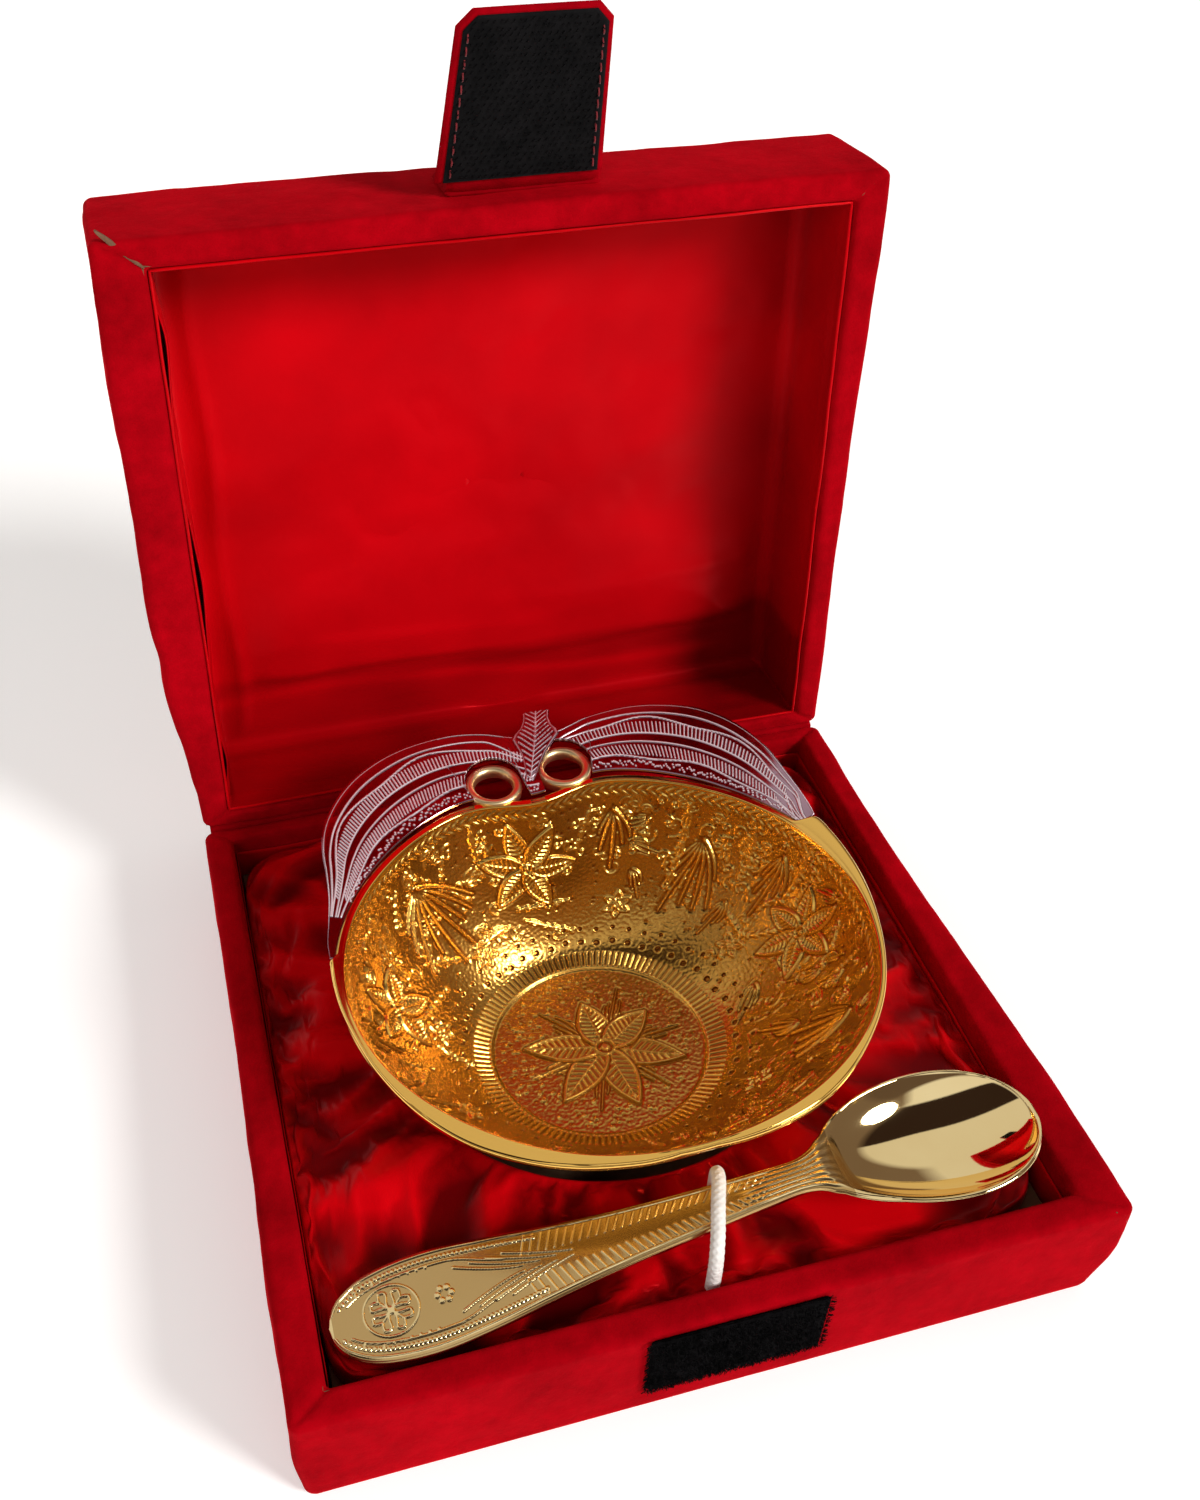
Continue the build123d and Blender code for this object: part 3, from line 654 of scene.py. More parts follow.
def lid_velvet():
    # (depth into the wall, z, corner radius): inside, round the rim, up the outside
    profile = [(5.96, 33.0, 0.9), (5.96, 30.5, 0.9)]
    profile += [(4.3 + 1.65 * math.sin(a), 28.7 - 1.62 * math.cos(a), 0.9)
                for a in np.radians(np.linspace(90, 12, 6))]
    profile += [(d, 27.06, 1.2 if d > 3 else 1.7) for d in (4.2, 3.9, 3.5, 3.1, 2.5, 1.9)]
    profile += [(1.4 - 1.4 * math.cos(a), 28.46 - 1.4 * math.sin(a), CORNER - 0.5 * a / 1.57)
                for a in np.radians(np.linspace(90, 8, 9))]
    profile += [(-0.22 * math.sin(math.pi * (z - 28.8) / 24.2), z, CORNER)
                for z in np.linspace(29.0, 52.6, 22)]
    panel = [top_ring(1.6 - 1.6 * math.cos(a), 53.3 + 1.6 * math.sin(a))
             for a in np.radians(np.linspace(8, 90, 8))]
    panel += [top_ring(inset, 54.9 + 0.12 * min(1, (inset - 3) / 20))
              for inset in (2.8, 4.2, 6, 8.5, 12, 16, 21, 27, 34, 42, 50, 58, 64, 68.6)]
    points = np.array([wall_ring(*row) for row in profile] + panel)
    depth = np.array([row[0] for row in profile] + [9.0] * len(panel))   # 9 marks the panel
    normals, facing = outward_normals(points, 24)
    waves = velvet_waves(points, depth, strength=0.36, scale=21.0, shift=13, fine_shift=90,
                         left=1.35, elsewhere=0.6)
    points = points + normals * waves[..., None]
    crease_corners(points, -1, depth)
    # the left wall swells outwards, most of all towards the front; the right a little
    outer = (1 - np.clip(np.where(depth > 8, 0, depth), 0, 5.0) / 5.0)[:, None]
    x, y = points[..., 0], points[..., 1]
    swell = smooth(66, 18, y) * (1 - 0.25 * np.exp(-((y - 22) / 7.0) ** 2))
    x -= 3.9 * outer * swell * smooth(-40, -76, x)
    x += 1.2 * outer * smooth(20, -60, y) * smooth(40, 76, x)
    points[..., 2] = np.maximum(points[..., 2], 26.62)
    rows, columns = points.shape[:2]
    faces = grid_faces(rows, columns, False, True).tolist()
    # close the middle of the panel
    faces.append([rows * columns - 1 - i for i in range(columns)])
    ob = add_mesh("velvet_lid", open_lid(points), faces, VELVET)
    solidify(ob, VELVET_THICKNESS, offset=facing)
    register(ob, "lid", ["lid_velvet_wrap"])


# ------------------------------------------------------------------ satin linings
FRONT, RIGHT, BACK, LEFT = range(4)


def lining_ring(inset, z, nx, ny):
    """Rectangle an inset inside the walls: front, right, back, left."""
    x, front, back = INNER_X - inset, INNER_FRONT + inset, INNER_BACK - inset
    corners = np.array([(-x, front), (x, front), (x, back), (-x, back)])
    ring = []
    for k, count in enumerate((nx, ny, nx, ny)):
        t = np.linspace(0, 1, count, endpoint=False)[:, None]
        ring.append(corners[k] * (1 - t) + corners[(k + 1) % 4] * t)
    ring = np.vstack(ring)
    return np.c_[ring, np.full(len(ring), z)]


def side_and_inward(nx, ny):
    """For each point of a lining ring, its side and the direction away from the wall."""
    side = np.repeat([FRONT, RIGHT, BACK, LEFT], [nx, ny, nx, ny])
    return side, np.array([[0, 1, 0], [-1, 0, 0], [0, -1, 0], [1, 0, 0]])[side]


LID_PANEL_Z = 50.66      # inner face of the lid's panel, before its padding
LID_LINING_GAP = 0.15
LID_WALL_ROWS, LID_ARC_ROWS = 16, 7


def lid_wall_push(points, side, near_stem):
    """How far the lining stands off the lid's walls."""
    x, y, z = points[..., 0], points[..., 1], points[..., 2]
    height = np.clip((z - 28.3) / 19, 0, 1)
    crumple = (0.35 + 0.35 * NOISE.layered(points, 17.0, 3)).clip(0, 2)
    back_folds = 0.55 * (side == BACK) * (
        0.5 + 0.5 * np.sin(z * 0.95 + 0.045 * x + 1.3 * NOISE.at(points, 30.0)))
    left_folds = 0.5 * (side == LEFT) * (
        0.5 + 0.5 * np.sin(y * 0.16 + z * 0.5 + 2 * NOISE.at(points, 26.0)))
    held = smooth(0.02, 0.25, height) * (1 - smooth(0.86, 1.0, height))
    push = (crumple + back_folds + left_folds) * held * 0.9
    push = np.where(side == BACK, np.minimum(push, 0.42), push)
    # the left wall's lining hangs loose near the rim
    loose = ((0.9 + 0.9 * np.sin(y * 0.11 + 0.8) + 0.5 * NOISE.at(points, 14.0))
             * (side == LEFT) * (1 - smooth(29.0, 40.0, z))
             * smooth(-60, -48, y) * (1 - smooth(48, 62, y)))
    push = push + np.maximum(loose, 0)
    return push * (1 - near_stem) + np.minimum(push, 0.15) * near_stem


def lid_panel_padding(points, x, y, inset):
    """How far the padded panel stands out towards the inside of the box."""
    lumps = (0.45 * NOISE.layered(points + 7, 34.0, 2)
             + 0.2 * NOISE.layered(points + 70, 11.0, 2))

    def ridge(centre, width):
        return np.exp(-((y - centre) / width) ** 2)

    creases = (0.28 * ridge(18 + 0.10 * x, 4.0)
               + 0.5 * ridge(47 + 0.03 * x + 1.5 * np.sin(x / 23), 2.2)
               + 0.30 * ridge(54 - 0.05 * x, 1.7) * smooth(-40, 20, x))
    left_edge = 0.8 * np.exp(-((x + 63 + 0.8 * np.sin(y / 9)) / 1.5) ** 2)
    drags = 0.55 * (0.5 + 0.5 * np.sin((x * 0.55 + y) * 0.13
                                       + 1.6 * NOISE.at(points + 3, 40.0))) ** 3
    long_folds = (1.25 * ridge(42 + 0.06 * x + 1.6 * np.sin(x / 19), 1.9) * smooth(-66, -30, x)
                  + 0.9 * ridge(49 - 0.03 * x, 1.5)
                  + 0.7 * ridge(33 - 0.02 * x + 1.2 * np.sin(x / 15), 2.2)
                  * smooth(-20, 30, x))
    # the padding swells towards the hinge and ends in a soft step
    step = (2.2 * smooth(8, 43, y) * (1 - smooth(43.5 + 1.2 * np.sin(x / 21), 49.5, y))
            * smooth(-69, -50, x) * (1 - smooth(50, 69, x)))
    rise = (np.abs(lumps) * 1.2 + 0.6 * creases + left_edge + drags + 0.45 * long_folds
            + step) * smooth(1.0, 9.0, inset)[:, None]
    rise = np.clip(rise, 0, 2.9)
    # room for the leaf plate when the lid is shut, and none taken over its stem
    room = (np.maximum(LID_PANEL_Z - (leaf_height(y) + 0.50), 0.0)
            + 3.0 * smooth(55, 60, np.abs(x)) + 3.0 * (1 - smooth(22, 34, y)))
    over_stem = np.exp(-(x / 16.0) ** 4) * smooth(48, 56, y)
    return np.minimum(rise, room) * (1 - over_stem)


def lid_satin():
    """Walls and panel of the lid in one gathered sheet, in rings from the rim inwards."""
    # (inset, z)
    rings = [(0.0, 28.3), (0.0, 28.6), (0.12, 28.9), (0.1, 29.3), (0.02, 30.0)]
    rings += [(0.15, z) for z in np.linspace(31.5, 46.8, 11)]
    rings += [(0.15 + 3.2 * (1 - math.cos(a)), 47.4 + 3.26 * math.sin(a))
              for a in np.radians(np.linspace(12, 90, LID_ARC_ROWS))]
    rings += [(inset, LID_PANEL_Z) for inset in np.linspace(4.4, 63.9, 56)]
    nx, ny = 128, 118
    points = np.array([lining_ring(LID_LINING_GAP + inset, z, nx, ny) for inset, z in rings])
    side, inward = side_and_inward(nx, ny)
    x, y, z = (points[..., axis].copy() for axis in range(3))
    near_stem = np.exp(-((x - 1.0) / 8.0) ** 4) * (side == BACK)
    points = points + inward * lid_wall_push(points, side, near_stem)[..., None]
    # behind the leaf's stem the curve into the panel is drawn tight: (inset, z)
    tight = np.array([(0.10, 48.3), (0.10, 49.2), (0.10, 50.0), (0.14, 50.5),
                      (0.5, 50.66), (1.8, 50.66), (3.35, 50.66)])
    arc = slice(LID_WALL_ROWS, LID_WALL_ROWS + LID_ARC_ROWS)
    near = near_stem[arc]
    tight_y = INNER_BACK - LID_LINING_GAP - tight[:, :1]
    points[arc, :, 1] = points[arc, :, 1] * (1 - near) + tight_y * near
    points[arc, :, 2] = points[arc, :, 2] * (1 - near) + tight[:, 1:] * near
    points[..., 2] -= lid_panel_padding(points, x, y, np.array([inset for inset, _ in rings]))
    rows, columns = points.shape[:2]
    faces = grid_faces(rows, columns, False, True).tolist()
    # the last ring is a narrow loop: close it across
    last = (rows - 1) * columns
    for i in range(nx):
        across = 2 * nx + ny - i
        faces.append((last + i, last + i + 1, last + (across - 1) % columns,
                      last + across % columns))
    # painted shade in the 'fold' attribute: darker towards the hinge and the right wall, where
    # their shade falls
    patches = NOISE.layered(points + 21, 22.0, 2)
    fold = (0.80 - 0.42 * smooth(41, 50, y + 2.0 * patches)
            - 0.36 * smooth(40, 66, x + 4.0 * patches) + 0.10 * patches)
    # painted highlight: lighter along a wavy ridge on the panel
    fold += 0.16 * np.exp(-((y - 54.0 - 0.05 * x - 1.5 * np.sin(x / 17)) / 1.6) ** 2) * (z > 50)
    ob = add_mesh("satin_lid", open_lid(points), faces, LID_SATIN, recalc=True,
                  attributes={"fold": np.clip(fold, 0.22, 1.0)})
    solidify(ob, 0.22, offset=0)
    register(ob, "lid", ["lid_satin_lining", "lid_pad_satin", "lid_pad_foam"])


def lid_satin_bead():
    """Rolled edge of the lining, a thin bead along the rim."""
    path = lining_ring(0.3, 28.05, 60, 60)
    path[:, 2] += 0.12 * np.sin(np.arange(len(path)) * 0.35)
    path[:, :2] += 0.12 * np.c_[NOISE.at(path, 9.0), NOISE.at(path + 30, 9.0)]
    points, faces = tube_mesh(tube(path, 0.34, 8, closed=True), closed=True)
    ob = add_mesh("satin_lid_edge", open_lid(points), faces, SATIN)
    register(ob, "lid")


def base_lining():
    """Satin strip inside the base walls, with a loose wavy upper edge."""
    count = 90
    rows = []
    for z in (4.2, 9.0, 13.5, 16.0, 18.5, 20.5, 21.6):
        row = lining_ring(0.25, z, count, count)
        if z > 20:
            row[:, 2] += 0.5 * NOISE.at(row, 12.0)
        rows.append(row)
    points = np.array(rows)
    _, inward = side_and_inward(count, count)
    points = points + inward * (0.1 * (1 + NOISE.layered(points, 8.0, 2)))[..., None]
    ob = add_grid("satin_base_strip", points, SATIN, close_columns=True)
    solidify(ob, 0.15, offset=0)
    register(ob, "base", ["base_satin_lining"])


# ------------------------------------------------------------------ satin bed
def flat_bed(across, angle):
    """Flat sheet between the bowl's hole (across = 0) and the walls (across = 1)."""
    wall_x, wall_front, wall_back = 69.1, -62.1, 64.3
    cos, sin = np.cos(angle), np.sin(angle)
    hole_x, hole_y = BED_HOLE_X, BED_HOLE_Y
    # distance from the hole's centre to the walls in each direction
    to_x = np.where(cos > 0, (wall_x - hole_x) / np.maximum(cos, 1e-6),
                    (-wall_x - hole_x) / np.minimum(cos, -1e-6))
    to_y = np.where(sin > 0, (wall_back - hole_y) / np.maximum(sin, 1e-6),
                    (wall_front - hole_y) / np.minimum(sin, -1e-6))
    to_x, to_y = np.abs(to_x), np.abs(to_y)
    outer = (to_x ** -14 + to_y ** -14) ** (-1 / 14.0)
    inner = 1 / np.sqrt((cos / (BED_HOLE_RADII[0] + 0.3)) ** 2
                        + (sin / (BED_HOLE_RADII[1] + 0.3)) ** 2)
    # the front right corner is pulled in
    outer = outer - 2.2 * np.exp(-((angle - math.radians(318)) / 0.12) ** 2)
    radius = inner[None] + (outer - inner)[None] * across[:, None]
    x, y = hole_x + radius * cos[None], hole_y + radius * sin[None]
    return np.stack([x, y, np.full_like(x, BED_TOP)], -1)


def simulate_bed(flat, rows, columns):
    """Slack satin held along the walls and round the hole; the spare cloth buckles.

    It is drawn ten times larger so that the solver is stable.
    """
    enlarge = 10.0
    frames = 24
    random = np.random.RandomState(5)
    points = flat.reshape(-1, 3).copy()
    points[:, 2] += 0.25 * NOISE.layered(points, 9.0, 3) + 0.05 * random.randn(len(points))
    mesh = bpy.data.meshes.new("bed_sim")
    mesh.from_pydata([tuple(p) for p in points * MM * enlarge], [],
                     grid_faces(rows, columns, False, True).tolist())
    ob = bpy.data.objects.new("bed_sim", mesh)
    bpy.context.scene.collection.objects.link(ob)
    pins = ob.vertex_groups.new(name="pin")
    row = np.arange(rows * columns) // columns
    column = np.arange(rows * columns) % columns
    pinned = (row == 0) | (row == rows - 1)
    # a few tucks where the cloth is caught at the hole, then at the walls
    for k in random.choice(columns, 16, replace=False):
        pinned |= (column == k) & (row < random.randint(3, 9))
    for k in random.choice(columns, 14, replace=False):
        pinned |= (column == k) & (row > rows - 1 - random.randint(3, 8))
    pins.add([int(i) for i in np.nonzero(pinned)[0]], 1.0, "REPLACE")

    cloth = ob.modifiers.new("cloth", "CLOTH")
    settings = cloth.settings
    settings.quality = 6
    settings.mass = 0.2
    settings.tension_stiffness = 12
    settings.compression_stiffness = 12
    settings.shear_stiffness = 4
    settings.bending_stiffness = 1.6
    settings.air_damping = 2.0
    settings.shrink_min = -0.19          # the sheet grows by this share
    settings.vertex_group_mass = "pin"
    settings.effector_weights.gravity = 0.0
    settings.effector_weights.all = 1.0
    cloth.collision_settings.use_self_collision = False
    cloth.collision_settings.use_collision = False
    cloth.point_cache.frame_start = 1
    cloth.point_cache.frame_end = frames
    scene = bpy.context.scene
    for number in range(1, frames + 1):
        scene.frame_set(number)
    evaluated = ob.evaluated_get(bpy.context.evaluated_depsgraph_get())
    result = evaluated.to_mesh()
    settled = np.zeros(len(result.vertices) * 3)
    result.vertices.foreach_get("co", settled)
    evaluated.to_mesh_clear()
    settled = (settled.reshape(-1, 3) / MM / enlarge).reshape(rows, columns, 3)
    scene.frame_set(1)
    bpy.data.objects.remove(ob, do_unlink=True)
    bpy.data.meshes.remove(mesh)
    # an unstable solution falls back to the flat sheet
    if not np.isfinite(settled).all():
        return flat
    # limit the sideways drift
    limit = 3.0
    drift = (settled - flat)[..., :2]
    length = np.linalg.norm(drift, axis=-1)
    keep = np.where(length > limit, limit / np.maximum(length, 1e-9), 1.0)
    settled[..., :2] = flat[..., :2] + drift * keep[..., None]
    return settled


def spoon_clearance(x, y):
    """Distance outside the spoon's footprint, in plan."""
    handle_half = np.interp(x, [-69, -60, -48, -20, 10, 20], [1, 7.8, 9.4, 6, 3.8, 3.6])
    from_handle = np.where(x > 22, 30, np.abs(y - spoon_axis(x)) - handle_half)
    from_scoop = (np.hypot((x - SCOOP_X) / 23.0, (y - SCOOP_Y) / 13.3) - 1) * 15
    return np.minimum(from_handle, from_scoop)


def bed_skirts(points, angle):
    """Rows going down the bowl's hole and down the walls."""
    cos, sin = np.cos(angle), np.sin(angle)
    at_hole, at_walls = [], []
    for drop, spread in ((0.5, 0.28), (1.3, 0.42), (2.6, 0.45), (4.2, 0.4), (6.0, 0.3)):
        row = points[-1].copy()
        row[:, 2] = np.minimum(row[:, 2], 21.2) - drop
        row[:, 0] = np.clip(row[:, 0] + spread * cos, -69.35, 69.35)
        row[:, 1] = np.clip(row[:, 1] + spread * sin, -62.4, 64.6)
        at_walls.append(row)
        row = points[0].copy()
        row[:, 2] = np.minimum(row[:, 2], 21.2) - drop
        gather = 0.35 * np.sin(angle * 38 + 2 * np.sin(angle * 5)) * (drop / 6)
        row[:, 0] -= (spread - gather) * cos
        row[:, 1] -= (spread - gather) * sin
        at_hole.append(row)
    return at_hole[::-1], at_walls


def bed_satin():
    rows, columns = 64, 300
    angle = np.linspace(0, 2 * math.pi, columns, endpoint=False)
    t = np.linspace(0, 1, rows)
    across = t[:, None]
    flat = flat_bed(t, angle)
    points = simulate_bed(flat, rows, columns)
    # puckers brought to an even strength, then radial folds and lumps on top
    height = points[..., 2] - BED_TOP
    height = height * (1.5 / max(np.percentile(np.abs(height), 92), 0.2))
    large = (1 - np.abs(np.sin(angle[None] * 7.5 + 2.6 * NOISE.at(flat, 26.0)
                               + 1.2 * across))) ** 1.4
    medium = (1 - np.abs(np.sin(angle[None] * 15 + 3.2 * NOISE.at(flat + 40, 17.0)
                                - 1.6 * across))) ** 1.6
    lumps = NOISE.layered(flat + 9, 15.0, 2)
    height = height + (np.sin(math.pi * across) ** 0.6
                       * (3.0 * large + 1.5 * medium + 1.1 * lumps - 1.3))
    # high folds only clear of the spoon, the hole and the walls
    free = (smooth(0.5, 7.0, spoon_clearance(points[..., 0], points[..., 1]))
            * smooth(0.04, 0.22, across) * smooth(0.0, 0.06, 1 - across))
    top = 1.2 + 2.6 * free
    height = np.where(height > 0, top * np.tanh(height / top), 1.9 * np.tanh(height / 1.9))
    crown = 0.5 * np.sin(math.pi * across)
    points[..., 2] = np.minimum(20.6 + height + crown, 22.0 + 2.4 * free)
    # keep inside the walls
    points[..., 0] = np.clip(points[..., 0], -69.2, 69.2)
    points[..., 1] = np.clip(points[..., 1], -62.2, 64.4)
    at_hole, at_walls = bed_skirts(points, angle)
    # painted shade in the 'fold' attribute: darker where the cloth lies low, kept lighter near
    # the hole, darker down the hole and most of all down the walls
    fold = np.clip((points[..., 2] - 19.3) / 4.0, 0, 1)
    fold = np.maximum(fold, 0.45 * (1 - smooth(0.0, 0.14, across)))
    fold = np.concatenate([np.repeat(fold[:1] * 0.8, len(at_hole), 0), fold,
                           np.repeat(fold[-1:] * 0.5, len(at_walls), 0)])
    points = np.concatenate([np.array(at_hole), points, np.array(at_walls)])
    ob = add_grid("satin_bed", points, BED_SATIN, close_columns=True, attributes={"fold": fold})
    subdivide = ob.modifiers.new("sub", "SUBSURF")
    subdivide.levels = 1
    subdivide.render_levels = 1
    solidify(ob, 0.25, offset=0)
    register(ob, "base", ["bed_satin", "bed_foam"])


# ------------------------------------------------------------------ relief drawing
class Relief:
    """Height field in plan on which chased and engraved work is drawn."""

    def __init__(self, x0, y0, x1, y1, cell):
        self.x0, self.y0, self.cell = x0, y0, cell
        self.nx, self.ny = int((x1 - x0) / cell) + 1, int((y1 - y0) / cell) + 1
        self.heights = np.zeros((self.ny, self.nx))

    def window(self, low_x, low_y, high_x, high_y):
        """Heights in a box, as a view, with their x and y; None outside the field."""
        i0 = max(0, int((low_x - self.x0) / self.cell))
        i1 = min(self.nx, int((high_x - self.x0) / self.cell) + 2)
        j0 = max(0, int((low_y - self.y0) / self.cell))
        j1 = min(self.ny, int((high_y - self.y0) / self.cell) + 2)
        if i1 <= i0 or j1 <= j0:
            return None
        x, y = np.meshgrid(self.x0 + self.cell * np.arange(i0, i1),
                           self.y0 + self.cell * np.arange(j0, j1))
        return self.heights[j0:j1, i0:i1], x, y

    def along(self, path, width, end_width=None):
        """For each piece of a path, heights near it and distance over half-width."""
        path = np.asarray(path, float)
        count = len(path) - 1
        for k in range(count):
            start, end = path[k], path[k + 1]
            reach = width if end_width is None else width + (end_width - width) * k / count
            found = self.window(*(np.minimum(start, end) - reach),
                                *(np.maximum(start, end) + reach))
            if found is None:
                continue
            heights, x, y = found
            step = end - start
            t = ((x - start[0]) * step[0] + (y - start[1]) * step[1]) / max(step @ step, 1e-9)
            t = np.clip(t, 0, 1)
            distance = np.hypot(x - start[0] - t * step[0], y - start[1] - t * step[1])
            yield heights, distance / reach

    def stroke(self, path, width, height=1.0, end_width=None):
        """Raise a rounded line."""
        for heights, distance in self.along(path, width, end_width):
            np.maximum(heights, height * (1 - smooth(0.35, 1.0, distance)), out=heights)

    def sink(self, path, width):
        """Sink the ground to nothing along a line."""
        for heights, distance in self.along(path, width):
            heights *= smooth(0.45, 1.0, distance)

    def disc(self, centre, radius, height, soft=0.3, raise_only=False):
        """Set a round patch to a height, or only raise it."""
        found = self.window(centre[0] - radius, centre[1] - radius,
                            centre[0] + radius, centre[1] + radius)
        if found is None:
            return
        heights, x, y = found
        cover = 1 - smooth(1 - soft, 1.0, np.hypot(x - centre[0], y - centre[1]) / radius)
        if raise_only:
            np.maximum(heights, height * cover, out=heights)
        else:
            heights[...] = heights * (1 - cover) + height * cover

    def dot(self, centre, radius, height=1.0):
        self.disc(centre, radius, height, raise_only=True)

    def fill(self, outline, height):
        """Set the inside of a polygon to a height."""
        found = self.window(*outline.min(axis=0), *outline.max(axis=0))
        if found is None:
            return
        heights, x, y = found
        inside = np.zeros(x.shape, bool)
        for (xi, yi), (xj, yj) in zip(outline, np.roll(outline, 1, axis=0)):
            inside ^= ((yi > y) != (yj > y)) & (
                x < (xj - xi) * (y - yi) / (yj - yi + 1e-12) + xi)
        heights[inside] = height

    def at(self, x, y):
        """Heights read between the cells."""
        u = np.clip((np.asarray(x) - self.x0) / self.cell, 0, self.nx - 1.001)
        v = np.clip((np.asarray(y) - self.y0) / self.cell, 0, self.ny - 1.001)
        i, j = u.astype(int), v.astype(int)
        fx, fy = u - i, v - j
        h = self.heights
        return (h[j, i] * (1 - fx) * (1 - fy) + h[j, i + 1] * fx * (1 - fy)
                + h[j + 1, i] * (1 - fx) * fy + h[j + 1, i + 1] * fx * fy)


def band_noise(shape, cell, wavelength, seed, spread):
    """Labyrinth-like pattern: noise limited to one band of wavelengths."""
    spectrum = np.fft.rfft2(np.random.RandomState(seed).randn(*shape))
    frequency = np.hypot(np.fft.rfftfreq(shape[1], cell)[None],
                         np.fft.fftfreq(shape[0], cell)[:, None])
    middle = 1.0 / wavelength
    gain = np.exp(-((frequency - middle) / (middle * spread)) ** 2)
    pattern = np.fft.irfft2(spectrum * gain, shape)
    return pattern / (pattern.std() + 1e-9)


def draw_petal(relief, centre, angle, length, width, hatch, line):
    """Pointed petal starting at centre, with a number of hatch lines on each half."""
    t = np.linspace(0, 1, 14)
    half = width * np.sin(math.pi * t ** 0.85) ** 0.9
    half[0], half[-1] = 0, 0
    cos, sin = math.cos(angle), math.sin(angle)
    turn = np.array([[cos, sin], [-sin, cos]])
    left, right, middle = (np.c_[length * t, side * half] @ turn + np.array(centre, float)
                           for side in (1, -1, 0))
    if hatch:
        relief.sink(left, line * 2.0)
        relief.sink(right, line * 2.0)
    relief.fill(np.vstack([left, right[::-1]]), 0.22)
    relief.stroke(left, line, 1.1)
    relief.stroke(right, line, 1.1)
    relief.stroke(middle, line * 0.6, 1.1 * 0.8)

    def point_on(edge, share):
        return np.array([np.interp(share, t, edge[:, i]) for i in (0, 1)])

    for k in range(1, hatch + 1):
        share = 0.08 + 0.84 * k / (hatch + 1)
        inner = point_on(middle, share)
        for edge in (left, right):
            outer = point_on(edge, min(0.99, share + 0.10))
            relief.stroke([inner, outer * 0.84 + inner * 0.16], line * 0.52, 0.9)


def draw_flower(relief, centre, petals, width, hatch, core, line):
    """Petals given as (angle, length) round a ringed boss of radius core."""
    for angle, length in petals:
        draw_petal(relief, centre, angle, length, width, hatch, line)
    relief.disc(centre, core * 1.35, 0.05)
    angle = np.linspace(0, TAU, 22)
    relief.stroke(np.c_[centre[0] + core * np.cos(angle), centre[1] + core * np.sin(angle)],
                  0.40, 1.2)
    relief.disc(centre, core * 0.5, 1.0)


def even_petals(first_angle, count, length):
    return [(first_angle + TAU * k / count, length) for k in range(count)]


def draw_fan(relief, centre, angle, length, leaves, spread, line=0.72, turn=0.5):
    """Long plain leaves fanning out from one point."""
    for k in range(leaves):
        place = (k / (leaves - 1) - 0.5) * 2
        leaf_length = length * (1 - 0.35 * abs(place)) * (0.85 + 0.3 * ((k * 7) % 3) / 2)
        path = []
        x, y = centre
        for t in np.linspace(0, 1, 9):
            path.append((x, y))
            heading = angle + spread * place - turn * place * t * 1.4
            x += leaf_length / 8 * math.cos(heading)
            y += leaf_length / 8 * math.sin(heading)
        relief.sink(path, line * 1.7)
        relief.stroke(path, line, 1.1, end_width=line * 0.35)


def draw_spray(relief, centre, angle, length, pairs=5, line=0.5):
    """A stalk with pairs of curved leaves."""
    cos, sin = math.cos(angle), math.sin(angle)
    stalk = [(centre[0] + length * t * cos, centre[1] + length * t * sin)
             for t in np.linspace(0, 1, 8)]
    relief.stroke(stalk, line, 1.1, end_width=line * 0.5)
    for k in range(pairs):
        t = (k + 0.4) / pairs
        x, y = centre[0] + length * t * cos, centre[1] + length * t * sin
        leaf_length = length * 0.36 * (1 - 0.45 * t)
        for side in (-1, 1):
            path = []
            for share in np.linspace(0, 1, 7):
                dx, dy = polar(angle + side * 0.75 - side * 0.9 * share, leaf_length * share)
                path.append((x + dx, y + dy))
            relief.stroke(path, line * 0.9, 1.0, end_width=line * 0.3)
            relief.dot(path[-1], 0.55)


def draw_scroll(relief, centre, radius, angle, turn, line, turns):
    """Spiral winding in to a dot; turn is 1 or -1."""
    t = np.linspace(0, 1, 26)
    sweep = angle + turn * t * turns * TAU
    winding = radius * (1 - 0.86 * t)
    relief.stroke(np.c_[centre[0] + winding * np.cos(sweep),
                        centre[1] + winding * np.sin(sweep)], line, end_width=line * 0.7)
    relief.dot(centre, line * 1.3, 1.05)


# ------------------------------------------------------------------ bowl relief
# The relief is drawn on the bowl's inside unrolled: radius is the distance along the
# profile from the centre, scaled so that the lip is at 70.  Angles are in degrees.
RELIEF_LIP = 70.0

# floor flower: (angle, length) of each petal
FLOOR_PETALS = [(-24, 16.6), (-81, 16.0), (-136, 16.2), (167, 16.6), (97, 12.6), (33, 13.0)]
# (angle, radius, length, leaves, spread)
FANS = [(131, 60.0, 23, 9, 1.15), (49, 58.0, 20, 7, 0.9), (204, 61, 20, 7, 1.0),
        (262, 61, 21, 7, 1.0), (330, 60, 18, 7, 0.9), (26, 62, 14, 5, 0.8),
        (74, 63, 13, 5, 0.9), (182, 62, 13, 5, 0.8)]
# (angle, radius, length)
SPRAYS = [(55, 66, 20), (150, 66, 13), (112, 66.5, 11), (20, 66, 12), (228, 66, 14),
          (296, 66, 14)]
# (angle, radius)
SMALL_FLOWERS = [(124, 35.2), (70, 38.5), (24, 38), (205, 36), (262, 37), (318, 37),
                 (165, 34.5)]
# (angle, radius, petals, length, petal half-width, turn)
LARGE_FLOWERS = [(99, 53.0, 6, 12.8, 2.7, 18), (8.0, 51.0, 6, 11.4, 2.3, 40),
                 (165.5, 47.0, 5, 10.8, 2.5, 8), (236, 51, 6, 11.0, 2.4, 20),
                 (300, 51, 6, 11.0, 2.4, 50)]


